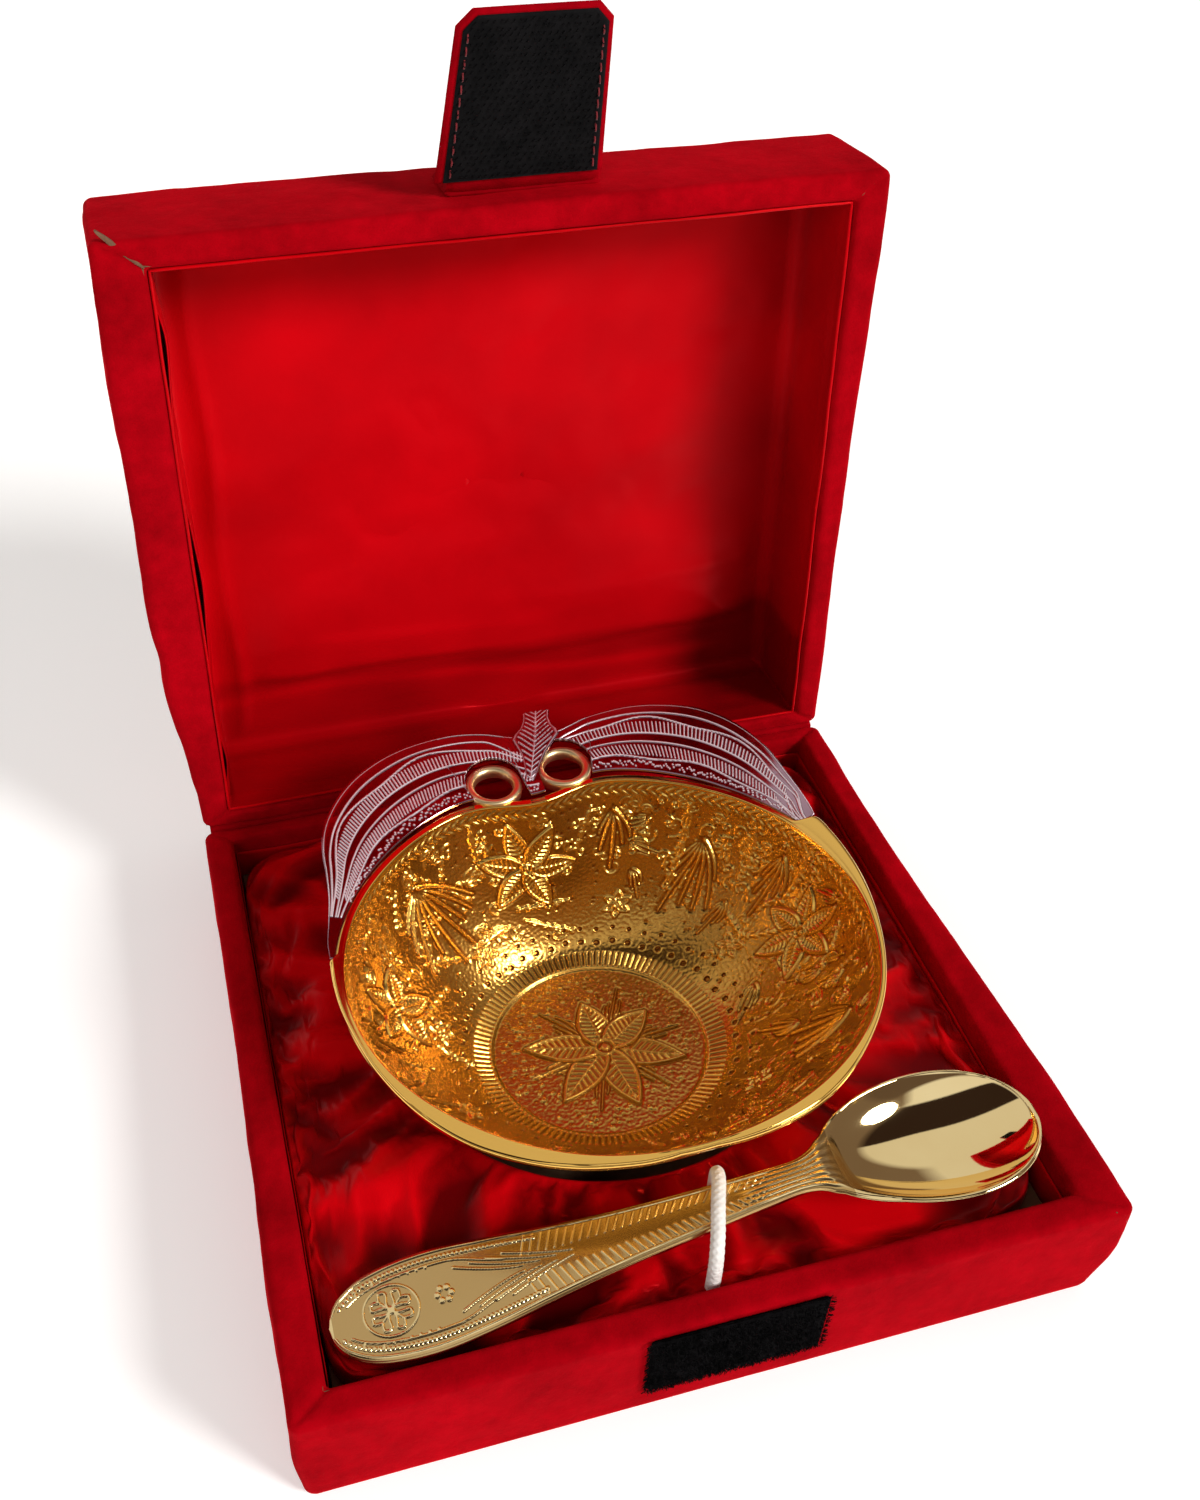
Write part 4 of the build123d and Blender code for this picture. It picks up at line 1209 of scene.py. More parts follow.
def draw_wall_ground(relief, random):
    """Strokes, scrolls, leaves and punched pits scattered over the wall."""
    def scatter(inner, spread):
        return TAU * random.rand(), inner + spread * math.sqrt(random.rand())

    def either_way():
        return 1 if random.rand() < 0.5 else -1

    # long strokes on the front right
    for _ in range(260):
        angle, radius = math.radians(268 + 98 * random.rand()), 30 + 34 * random.rand()
        x, y = polar(angle, radius)
        heading = angle + 0.5 * random.randn()
        dx, dy = polar(heading, 1.5 + 2.5 * random.rand())
        relief.stroke([(x, y), (x + dx, y + dy)], 0.26, 0.9)
    # scrolls and three-leaf sprigs
    for _ in range(230):
        centre = polar(*scatter(30, 37))
        if random.rand() < 0.5:
            draw_scroll(relief, centre, radius=1.5 + 1.7 * random.rand(),
                        angle=random.rand() * 6.28, turn=either_way(), line=0.40,
                        turns=0.9 + 0.5 * random.rand())
        else:
            heading = random.rand() * 6.28
            for turn in (-0.6, 0, 0.6):
                draw_petal(relief, centre, heading + turn, 2.6 + 1.6 * random.rand(),
                           width=0.7, hatch=0, line=0.34)
    for _ in range(330):
        relief.disc(polar(*scatter(27, 40)), 0.42 + 0.2 * random.rand(), -0.15)
    # this work is shallower than all that follows
    relief.heights = 0.22 + (relief.heights - 0.22) * 0.5
    # branching leaf work
    for k in range(96):
        angle, radius = scatter(31, 34.5)
        heading = angle + math.pi + 1.0 * random.randn()
        if k % 3 == 0:
            draw_fan(relief, polar(angle, radius), heading, length=6 + 4 * random.rand(),
                     leaves=5, spread=0.9, line=0.46, turn=0.9)
        else:
            draw_spray(relief, polar(angle, radius), heading, length=7 + 5 * random.rand(),
                       pairs=4, line=0.44)
    for _ in range(150):
        draw_scroll(relief, polar(*scatter(30, 36)), radius=1.3 + 1.3 * random.rand(),
                    angle=random.rand() * 6.28, turn=either_way(), line=0.36, turns=1.0)
    for _ in range(260):
        relief.disc(polar(*scatter(28, 38)), 0.36 + 0.16 * random.rand(), 0.0)


def draw_floor(relief, random):
    """Stipple, small fans, then six hatched petals round a ringed boss."""
    for _ in range(230):
        centre = polar(random.rand() * 6.28, 8 + 12.5 * math.sqrt(random.rand()))
        relief.disc(centre, 0.36 + 0.22 * random.rand(), 0.08 if random.rand() < 0.5 else 0.55)
    flower = (1.25, 0.1)
    for k in range(6):
        between = (FLOOR_PETALS[k][0] + FLOOR_PETALS[(k + 1) % 6][0]) / 2
        # the third gap spans the jump from -180 to 180 degrees
        heading = math.radians(between + (180 if k == 2 else 0))
        dx, dy = polar(heading, 5.5)
        draw_fan(relief, (flower[0] + dx, flower[1] + dy), heading, length=9.5, leaves=5,
                 spread=0.8, line=0.34, turn=0.8)
    draw_flower(relief, flower, [(math.radians(angle), length) for angle, length in FLOOR_PETALS],
                width=3.2, hatch=9, core=2.0, line=0.52)


def draw_floor_border(relief, radius, angle):
    """Radial hatching with a bead inside it, then two rows of punched dots."""
    border = (radius > 22.9) & (radius < 26.6)
    hatching = 0.5 + 0.5 * np.cos(angle * 124)
    relief.heights[border] = (0.15 + 0.45 * smooth(0.35, 0.8, hatching))[border]
    bead = 1 - smooth(0.2, 0.5, np.abs(radius - 22.7))
    relief.heights = np.maximum(relief.heights, bead * 0.6)
    # (row radius, dots, dot radius)
    for row, (row_radius, dots, size) in enumerate(((29.0, 52, 0.82), (32.4, 54, 0.62))):
        for k in range(dots):
            centre = polar(TAU * (k + 0.5 * row) / dots, row_radius + 0.35 * math.sin(k * 2.1))
            relief.dot(centre, size * 1.3, 0.6)
            relief.disc(centre, size * 0.9, -0.75)


def draw_wall_motifs(relief):
    """Fans and sprays pointing down the wall, then the small and the large flowers."""
    for degrees, radius, length, leaves, spread in FANS:
        angle = math.radians(degrees)
        draw_fan(relief, polar(angle, radius), angle + math.pi, length, leaves, spread)
    for degrees, radius, length in SPRAYS:
        angle = math.radians(degrees)
        draw_spray(relief, polar(angle, radius), angle + math.pi, length)
    for degrees, radius in SMALL_FLOWERS:
        angle = math.radians(degrees)
        centre = polar(angle, radius)
        relief.disc(centre, 3.6, 0.0, soft=0.5)
        draw_flower(relief, centre, even_petals(angle, 6, 3.4), width=0.85, hatch=0,
                    core=0.7, line=0.40)
    for degrees, radius, count, length, width, turn in LARGE_FLOWERS:
        centre = polar(math.radians(degrees), radius)
        relief.disc(centre, 0.80 * length, 0.24, soft=0.5)
        draw_flower(relief, centre, even_petals(math.radians(turn + degrees), count, length),
                    width=width, hatch=8, core=1.45, line=0.55)


def bowl_relief():
    relief = Relief(-76, -76, 76, 76, cell=0.125)
    shape = relief.ny, relief.nx
    rows, columns = np.mgrid[0:relief.ny, 0:relief.nx]
    x, y = relief.x0 + relief.cell * columns, relief.y0 + relief.cell * rows
    radius, angle = np.hypot(x, y), np.arctan2(y, x)
    # chased ground of fine worm-like strokes
    worms = band_noise(shape, relief.cell, wavelength=1.25, seed=3, spread=0.38)
    broad = band_noise(shape, relief.cell, wavelength=2.6, seed=9, spread=0.3)
    fine = band_noise(shape, relief.cell, wavelength=0.8, seed=31, spread=0.3)
    relief.heights[:] = (0.22 + 0.12 * smooth(-0.25, 0.7, worms)
                         + 0.03 * smooth(-0.4, 0.9, broad) + 0.06 * smooth(0, 1.2, fine))
    random = np.random.RandomState(21)
    draw_wall_ground(relief, random)
    draw_floor(relief, random)
    draw_floor_border(relief, radius, angle)
    draw_wall_motifs(relief)
    # fine wavy chasing under the rim, then the plain lip
    wave = 0.5 + 0.5 * np.cos(angle * 150 + 2.2 * np.sin(radius * 2.1))
    for share, height in ((smooth(65.8, 67.2, radius) * 0.75,
                           0.25 + 0.5 * smooth(0.3, 0.8, wave)),
                          (smooth(69.2, 69.6, radius), 0.75)):
        relief.heights = relief.heights * (1 - share) + height * share
    return relief


# ------------------------------------------------------------------ bowl
# Front edge of the bowl's flat rim, seen from above, left to right: (x, y)
FLANGE = [
    (-56.1, 8.9), (-56.4, 2.7), (-56.0, -3.5), (-54.7, -10.1), (-52.1, -18.9),
    (-47.2, -28.6), (-40.2, -37.0), (-31.8, -42.9), (-22.4, -46.9), (-12.2, -48.9),
    (-6.0, -49.1), (-1.3, -48.6), (3.5, -48.9), (9.0, -48.8), (16.0, -47.8),
    (24.2, -45.2), (31.8, -40.7), (39.0, -34.3), (45.4, -26.3), (49.9, -17.4),
    (52.9, -7.6), (54.4, 2.2), (54.2, 11.4), (52.8, 19.6), (51.4, 22.2),
]
RIM_DENT = 4.7           # depth of the dent in the middle of the back edge

# Sections of the bowl: (half-width, half-depth, z, dent, centre's y from BOWL_Y)
CAVITY = [(22.5, 20.8, 8.8, 0.0, 2.8), (30.0, 26.8, 12.6, 0.0, 2.6),
          (40.0, 34.2, 22.0, 1.0, 1.8), (48.6, 40.4, 34.0, 3.2, 0.8),
          (52.9, 45.6, 46.2, RIM_DENT, 0.0)]
OUTSIDE = [(54.6, 47.3, 44.8, RIM_DENT, 0.0), (50.4, 42.2, 34.0, 3.2, 0.8),
           (41.6, 35.8, 21.6, 1.0, 1.8), (31.0, 27.8, 11.2, 0.0, 2.6),
           (23.5, 21.8, 7.0, 0.0, 2.8)]


def bowl_section(section, angle):
    """Ring of points: an ellipse dented at the back."""
    half_width, half_depth, z, dent, centre_y = section
    x, y = half_width * np.cos(angle), half_depth * np.sin(angle)
    y = np.where(y > 0, y - dent * np.exp(-((x + 4.0) / 11.0) ** 2), y)
    return np.c_[BOWL_X + x, BOWL_Y + centre_y + y, np.full(len(angle), z)]


def bowl_polar(points):
    """Angle and radius of points about the bowl's middle."""
    dx, dy = points[:, 0] - BOWL_X, points[:, 1] - BOWL_Y
    return np.arctan2(dy, dx), np.hypot(dy, dx)


def rim_radius(half_width, half_depth, angle):
    """Radius of a rim ellipse about the bowl's middle at given angles."""
    ring = bowl_section((half_width, half_depth, 0.0, RIM_DENT, 0.0),
                        np.arange(1440) * TAU / 1440)
    at, radius = bowl_polar(ring)
    at = at % TAU
    order = np.argsort(at)
    at, radius = at[order], radius[order]
    at = np.concatenate([at[-3:] - TAU, at, at[:3] + TAU])
    radius = np.concatenate([radius[-3:], radius, radius[:3]])
    return np.interp(angle % TAU, at, radius)


def flange_radius(angle):
    """Outer radius of the rim: the measured front edge, and a thin edge at the back."""
    at, radius = bowl_polar(spline(FLANGE, 12))
    (left_end, right_end), _ = bowl_polar(np.array([FLANGE[0], FLANGE[-1]]))
    angle = angle % TAU
    at = at % TAU
    at = np.where(at < right_end + 0.01, at + TAU, at)
    order = np.argsort(at)
    front_radius = np.interp(np.where(angle < right_end, angle + TAU, angle),
                             at[order], radius[order])
    front = (angle > left_end) | (angle < right_end)
    outer = np.where(front, front_radius, rim_radius(54.9, 47.6, angle))
    # soften the step between the two
    reach = max(2, len(angle) // 260)
    weights = np.hanning(2 * reach + 3)[1:-1]
    weights /= weights.sum()
    wrapped = np.concatenate([outer[-reach:], outer, outer[:reach]])
    return np.convolve(wrapped, weights, mode="valid")


def bowl_rim(lip):
    """Rows over the flat rim, from the lip outwards and round the edge."""
    angle, inner = bowl_polar(lip)
    outer = np.maximum(flange_radius(angle), inner + 1.2)
    width = outer - inner
    cos, sin = np.cos(angle), np.sin(angle)

    def row(radius, z):
        return np.c_[BOWL_X + radius * cos, BOWL_Y + radius * sin, np.full(len(angle), z)]

    rows = []
    lip_round = 0.42
    for a in np.radians([25, 50, 75, 90]):
        rows.append(row(inner - 0.02 + lip_round * (1 - math.cos(a)),
                        46.2 + lip_round * math.sin(a)))
    for share in (0.3, 0.45, 0.6, 0.75, 0.88):
        rows.append(row(inner + width * share - 0.1 * share,
                        46.62 - 0.06 * math.sin(math.pi * share)))
    for a in np.radians([75, 50, 25, 0, -30, -60, -90]):
        rows.append(row(outer - 0.55 + 0.55 * math.cos(a),
                        45.95 + 0.62 * math.sin(a) - (0.35 if a < 0 else 0)))
    return np.array(rows)


def bowl():
    columns, inner_rows = ((1260, 380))
    angle = np.arange(columns) * TAU / columns
    # inside, evenly spaced along its profile
    sections = [(22.5 * t, 20.8 * t, 8.5 + 0.3 * t ** 3, 0.0, 2.8)
                for t in np.linspace(0, 1, 40, endpoint=False)]
    sections = np.array(sections + [tuple(row) for row in spline(CAVITY, 60)])
    mean_radius = (sections[:, 0] + sections[:, 1]) / 2
    length = np.r_[0, np.cumsum(np.hypot(np.diff(mean_radius), np.diff(sections[:, 2])))]
    spaced = np.linspace(0.35, length[-1], inner_rows)
    profile = np.stack([np.interp(spaced, length, sections[:, k]) for k in range(5)], -1)
    inner = np.array([bowl_section(section, angle) for section in profile])
    # the upper wall is pushed out along the front
    push = smooth(40.0, 46.2, inner[..., 2]) * (
        smooth(0.15, 0.75, -np.sin(angle)) * smooth(-0.80, -0.25, np.cos(angle)))[None]
    outward = inner[..., :2] - np.array([BOWL_X, BOWL_Y])
    inner[..., :2] += outward / np.linalg.norm(outward, axis=-1, keepdims=True) * push[..., None]
    # chasing
    along = spaced * RELIEF_LIP / length[-1]
    heights = bowl_relief().at(along[:, None] * np.cos(angle)[None],
                               along[:, None] * np.sin(angle)[None])
    normals = grid_normals(inner)
    middle = inner_rows // 2
    to_axis = np.array([BOWL_X, BOWL_Y, 40]) - inner[middle, 0]
    normals = normals * np.sign((normals[middle, 0] * to_axis).sum())
    depth = 0.50 * (1 - smooth(69.0, 69.7, along))[:, None] + 0.02
    chased = inner + normals * ((heights - 0.35) * depth)[..., None]
    # rim, underside of the rim blended into the wall, outside and bottom
    rim = bowl_rim(inner[-1])
    outside = np.array([bowl_section(section, angle) for section in spline(OUTSIDE, 14)])
    underside = rim[-1] * 0.55 + np.c_[outside[0, :, :2], rim[-1][:, 2]] * 0.45
    underside[:, 2] = rim[-1][:, 2] - 0.15
    bottom = []
    for share in (0.8, 0.5, 0.2, 0.03):
        row = outside[-1].copy()
        row[:, 0] = BOWL_X + (row[:, 0] - BOWL_X) * share
        row[:, 1] = BOWL_FLOOR_Y + (row[:, 1] - BOWL_FLOOR_Y) * share
        row[:, 2] = 7.0 + 0.05 * (1 - share)
        bottom.append(row)
    points = np.concatenate([chased, rim, underside[None], outside[1:], np.array(bottom)])
    rows = len(points)
    relief = np.full((rows, columns), 0.75)
    relief[:inner_rows] = heights
    polish = np.ones((rows, columns))
    polish[:inner_rows] = smooth(69.3, 69.7, along)[:, None]
    polish[inner_rows + len(rim) + 1:] = -0.4
    # a point in the middle of the floor and one in the middle of the bottom
    faces = grid_faces(rows, columns, False, True).tolist()
    floor_point, bottom_point = rows * columns, rows * columns + 1
    last = (rows - 1) * columns
    for i in range(columns):
        following = (i + 1) % columns
        faces.append((floor_point, following, i))
        faces.append((bottom_point, last + i, last + following))
    points = np.vstack([points.reshape(-1, 3),
                        [[BOWL_X, BOWL_FLOOR_Y, chased[0, :, 2].mean()]],
                        [[BOWL_X, BOWL_FLOOR_Y, 7.05]]])
    ob = add_mesh("bowl_chased", points, faces, CHASED_GOLD, recalc=True,
                  attributes={"relief": np.r_[relief.ravel(), 0.8, 0.75],
                              "polish": np.r_[polish.ravel(), 0.0, 0.75]})
    register(ob, "bowl", ["bowl_body"])


def eyelets():
    """Two fat rings in the leaf plate, at the bowl's back edge."""
    around, section = 96, 20
    angle = np.arange(around) * TAU / around
    cos, sin = (f(np.arange(section) * TAU / section) for f in (np.cos, np.sin))
    radius = EYELET_RADIUS + 0.05 + 1.06 * np.sign(cos) * np.abs(cos) ** 0.75
    # squarish section, its inner upper edge pressed down
    z = (45.95 + 1.45 * np.sign(sin) * np.abs(sin) ** 0.75
         + 0.25 * (cos < 0) * cos * (sin > 0))
    for side, (x, y) in zip(("left", "right"), EYELETS):
        points = np.stack([x + radius[None] * np.cos(angle)[:, None],
                           y + radius[None] * np.sin(angle)[:, None],
                           np.broadcast_to(z[None], (around, section))], -1)
        ob = add_grid("eyelet_ring_" + side, points, EYELET_GOLD, close_rows=True,
                      close_columns=True, recalc=True)
        register(ob, "bowl", ["eyelet_" + side])


# ------------------------------------------------------------------ leaf plate
# Outer edge of the leaf plate, seen from above, right to left: (x, y)
LEAF_EDGE = [
    (52.0, 22.3), (52.0, 26.5), (50.9, 34.6), (48.9, 44.1), (44.6, 51.7), (38.6, 57.1),
    (31.0, 60.4), (22.5, 61.8), (13.0, 60.9), (8.0, 59.2), (4.5, 58.0), (0.0, 57.6),
    (-4.5, 58.0), (-8.5, 59.2), (-13.0, 60.9), (-19.5, 61.9), (-28.0, 61.2), (-35.5, 58.8),
    (-42.5, 54.7), (-47.6, 49.5), (-51.2, 43.4), (-52.8, 37.0), (-53.1, 30.4), (-53.6, 24.3),
    (-54.8, 17.6), (-55.7, 13.0), (-55.9, 9.1),
]
# Stem: half-width at each y
STEM_Y = [45.4, 47, 50, 52.5, 55, 57, 58.4, 60, 62, 63.6, 64.3, 64.62]
STEM_HALF = [0.8, 1.3, 2.0, 2.9, 4.4, 5.6, 5.0, 3.7, 3.1, 3.1, 3.2, 2.7]


def engrave_leaf(angle, inner, outer):
    """Lines, hatching and dots on both halves of the leaf."""
    relief = Relief(-60, 2, 58, 70, cell=0.1)
    random = np.random.RandomState(7)

    def on_leaf(along, across):
        """Points at shares of the way along the edge and across the plate."""
        at = np.interp(np.clip(along, 0, 1) * (len(angle) - 1), np.arange(len(angle)), angle)
        low, high = np.interp(at, angle, inner), np.interp(at, angle, outer)
        radius = low + (high - low) * across
        return np.c_[BOWL_X + radius * np.cos(at), BOWL_Y + radius * np.sin(at)]

    # right half, then left half: (side, start and end along the edge, start of the lines,
    # start of the hatching, start of the dots, width of the pattern at the tip)
    for side, tip, stem, line_start, hatch_start, dot_start, tip_width in (
            (1, 0.0, 0.462, 0.0, 0.02, 0.08, 0.45), (-1, 1.0, 0.470, 0.14, 0.2, 0.2, 0.0)):
        def along(share):
            return tip + (stem - tip) * share

        s = np.linspace(line_start, 0.985, 90)
        full = ((tip_width + (1 - tip_width) * smooth(0.0, 0.10, s))
                * (1 - 0.35 * smooth(0.88, 1.0, s)))
        relief.stroke(on_leaf(along(s), 0.965), 0.16, 0.6)
        # (share across, offset, half-width of the line)
        for across, offset, width in ((0.76, 0.08, 0.24),
                                      (0.66 + 0.04 * np.sin(s * 21 + side), 0.08, 0.24),
                                      (0.47, 0.07, 0.22), (0.36, 0.05, 0.22),
                                      (0.15 + 0.028 * np.sin(s * 19), 0.04, 0.24)):
            relief.stroke(on_leaf(along(s), across * full + offset), width)
        # (last share, lines, slant, shares across)
        for end, count, slant, across in ((0.96, 78, 0.010, (0.55, 0.70)),
                                          (0.97, 74, 0.018, (0.22, 0.355))):
            for share in np.linspace(hatch_start, end, count):
                relief.stroke(on_leaf(along(np.array([share, share + slant])),
                                      np.array(across) * min(1, share * 8)), 0.19)
        for share in np.linspace(dot_start, 0.98, 150):
            across = np.array([0.045 + 0.09 * random.rand()])
            relief.dot(on_leaf(along(np.array([share])), across)[0], 0.24, 0.8)
    return relief


def leaf_blade():
    """Points, faces and engraving of the crescent plate."""
    columns, rows = ((1500, 112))
    edge_angle, edge_radius = bowl_polar(spline(LEAF_EDGE, 12))
    order = np.argsort(edge_angle)
    edge_angle, edge_radius = edge_angle[order], edge_radius[order]
    angle = np.linspace(edge_angle[0], edge_angle[-1], columns)
    outer = np.interp(angle, edge_angle, edge_radius)
    bowl_edge = rim_radius(55.0, 47.7, angle)
    inner = np.minimum(bowl_edge + 0.05, outer - 0.15)
    cos, sin = np.cos(angle), np.sin(angle)
    # step round the two eyelets
    for x, y in EYELETS:
        dx, dy = x - BOWL_X, y - BOWL_Y
        nearest = cos * dx + sin * dy
        inside = nearest * nearest - (dx * dx + dy * dy - (EYELET_RADIUS + 1.15) ** 2)
        beyond = np.where(inside > 0, nearest + np.sqrt(np.maximum(inside, 0)), 0)
        inner = np.maximum(inner, beyond)
    inner = np.minimum(inner, outer - 0.15)
    across = np.linspace(0, 1, rows)[:, None]
    radius = inner[None] + (outer - inner)[None] * across
    x, y = BOWL_X + radius * cos[None], BOWL_Y + radius * sin[None]
    relief = engrave_leaf(angle, np.minimum(bowl_edge, outer - 0.15), outer)
    heights = relief.at(x, y)
    z = leaf_height(y)
    edge_roll = 0.25 * smooth(0.93, 1.0, across)
    top = np.stack([x, y, z - edge_roll + 0.16 * heights
                    - 0.02 * np.sin(math.pi * across)], -1)
    bottom = np.stack([x, y, z - 1.05], -1)[[-1, -rows // 4, -rows // 2, -3 * rows // 4, 0]]
    engraved = np.concatenate([smooth(0.15, 0.6, heights), np.zeros((5, columns))])
    return closed_strip(np.concatenate([top, bottom])), engraved


def leaf_stem():
    """Points, faces and engraving of the herringbone bar on the middle of the plate."""
    rows, columns = 120, 40
    line = np.linspace(STEM_Y[0], STEM_Y[-1], rows)
    middle = np.interp(line, [45.4, 57, 64.6], [-5.4, -1.2, 1.0])[:, None]
    half = np.interp(line, STEM_Y, STEM_HALF)[:, None]
    across = np.linspace(-1, 1, columns)[None]
    x = middle + half * across
    y = np.repeat(line[:, None], columns, 1)
    phase = (y - np.abs(x - middle) * 0.9) * TAU / 1.35
    herringbone = (smooth(0.62, 0.97, np.cos(phase))
                   * (1 - smooth(0.74, 0.80, np.abs(across))))
    lines = (0.8 * np.exp(-((np.abs(across) - 0.88) / 0.03) ** 2)
             + np.exp(-(across * half / 0.14) ** 2))
    heights = np.clip(np.maximum(herringbone, lines), 0, 1)
    z = leaf_height(y) + 0.06 + 0.22 * (1 - across ** 4) * smooth(45.4, 48, y)
    top = np.stack([x, y, np.minimum(z + 0.16 * heights, 50.44)], -1)
    bottom = np.stack([x, y, leaf_height(y) - 0.9], -1)
    return sandwich(top, bottom), np.concatenate([heights.T, np.zeros_like(heights.T)])


def leaf():
    blade, blade_engraved = leaf_blade()
    stem, stem_engraved = leaf_stem()
    points, faces = join_parts([blade, stem])
    ob = add_mesh("leaf_engraved", points, faces, SILVER, recalc=True,
                  attributes={"engrave": np.r_[blade_engraved.ravel(), stem_engraved.ravel()]})
    register(ob, "bowl", ["leaf_plate"])


# ------------------------------------------------------------------ spoon
# Half-width of the handle, from its left end to the scoop: (x, half-width)
HANDLE = [
    (-68.0, 0.05), (-67.6, 2.0), (-66.6, 4.1), (-65.0, 5.8), (-61.5, 7.8), (-56.0, 9.0),
    (-48.5, 9.3), (-39.0, 8.4), (-29.0, 7.0), (-19.0, 5.8), (-9.0, 4.9), (3.0, 4.1),
    (13.0, 3.5), (18.0, 3.25), (21.0, 3.55), (23.5, 4.5), (25.5, 6.0),
]
# Height of the spoon's upper edge at each x
SPOON_X = [-69, -60, -50, -40, -30, -15, 0, 10, 20, 28, 36, 48, 60, 68.5]
SPOON_Z = [24.4, 24.7, 25.2, 25.9, 26.8, 28.2, 29.7, 30.9, 32.0, 32.4, 32.4, 32.3, 32.2, 32.0]


def spoon_half_width(xs):
    outline = spline(HANDLE, 20)
    order = np.argsort(outline[:, 0])
    half = np.interp(xs, outline[order, 0], np.maximum(outline[order, 1], 0.03))
    angle = np.linspace(math.pi, 0, 400)
    scoop = 13.3 * np.sin(angle) * (1 + 0.16 * np.cos(angle))
    half = np.where(xs > 25.5, np.interp(xs, SCOOP_X + 22.95 * np.cos(angle), scoop), half)
    half = np.maximum(half, 0.04)
    # soften the neck
    reach = max(1, len(xs) // 220)
    window = 2 * reach + 1
    soft = np.convolve(np.pad(half, reach, mode="edge"), np.ones(window) / window, mode="valid")
    half = np.where((xs > 15) & (xs < 36), soft, half)
    # rounded left end
    share = np.clip((xs + 68.0) / 8.0, 0, 1)
    end = 8.35 * np.sqrt(np.maximum(1 - (1 - share) ** 2, 1e-4))
    return np.where(xs < -60.0, np.minimum(half, end), half)


def draw_handle_flower(relief):
    """Four heart-shaped petals in a ring, near the left end of the handle."""
    centre = np.array([-57.0, spoon_axis(-57.0)])
    for k in range(4):
        angle = math.pi / 4 + k * math.pi / 2
        for side in (-1, 1):
            path = []
            for t in np.linspace(0, 1, 14):
                radius = 3.9 * math.sin(math.pi * t * 0.5) ** 0.7 if t < 0.99 else 3.1
                heading = angle + side * 0.62 * math.sin(math.pi * t) ** 0.9
                path.append(centre + polar(heading, radius * (1 if t < 0.9 else 0.86)))
            relief.stroke(path, 0.28)
        relief.stroke([centre, centre + polar(angle, 2.3)], 0.2, 0.8)
    relief.dot(centre, 0.8)
    angle = np.linspace(0, TAU, 40)
    relief.stroke(centre + np.c_[4.9 * np.cos(angle), 4.6 * np.sin(angle)], 0.22, 0.8)


def spoon_relief(xs, half):
    relief = Relief(-70, -64, 30, -40, cell=0.08)

    def half_at(x):
        return np.interp(x, xs, half)

    # border line, beads inside it and a second line
    x = np.linspace(-67.2, 14, 160)
    for side in (-1, 1):
        relief.stroke(np.c_[x, spoon_axis(x) + side * (half_at(x) - 0.95)], 0.26, 0.9)
    for x in np.linspace(-65.8, -30, 46):
        for side in (-1, 1):
            if half_at(x) > 3.0:
                relief.dot((x, spoon_axis(x) + side * (half_at(x) - 2.2)), 0.42)
    x = np.linspace(-64.4, -36, 80)
    second = np.maximum(half_at(x) - 3.3, 0.3) * (1 - 0.45 * smooth(-46, -34, x))
    for side in (-1, 1):
        relief.stroke(np.c_[x, spoon_axis(x) + side * second], 0.24, 0.9)
    draw_handle_flower(relief)
    # small flower of dots
    for k in range(6):
        dx, dy = polar(k * math.pi / 3, 1.25)
        relief.dot((-47.5 + dx, spoon_axis(-47.5) + dy), 0.62, 0.9)
    for side in (-1, 1):
        # long curved lines towards the neck
        t = np.linspace(0, 1, 16)
        for k in range(4):
            x = -45.0 + 3.0 * k + 12 * t
            offset = (3.6 - 0.55 * k) * (1 - t) ** 1.4 + 0.5 + 0.5 * k * (1 - t)
            relief.stroke(np.c_[x, spoon_axis(x) + side * offset], 0.26, 0.95, end_width=0.14)
        # dots along the second line
        for k in range(9):
            x = -62.5 + 1.6 * k
            offset = 5.7 * math.sin(min(1, (x + 66) / 6.0) * 1.57)
            relief.dot((x, spoon_axis(x) + side * offset), 0.3, 0.8)
    # slanting strokes along the narrow part
    for x in np.linspace(-33, 12, 30):
        room = float(half_at(x)) - 1.3
        for side in (-1, 1):
            if room > 0.6:
                relief.stroke([(x, spoon_axis(x) + side * room * 0.35),
                               (x + 1.5, spoon_axis(x) + side * room * 0.95)], 0.2, 0.7)
    return relief


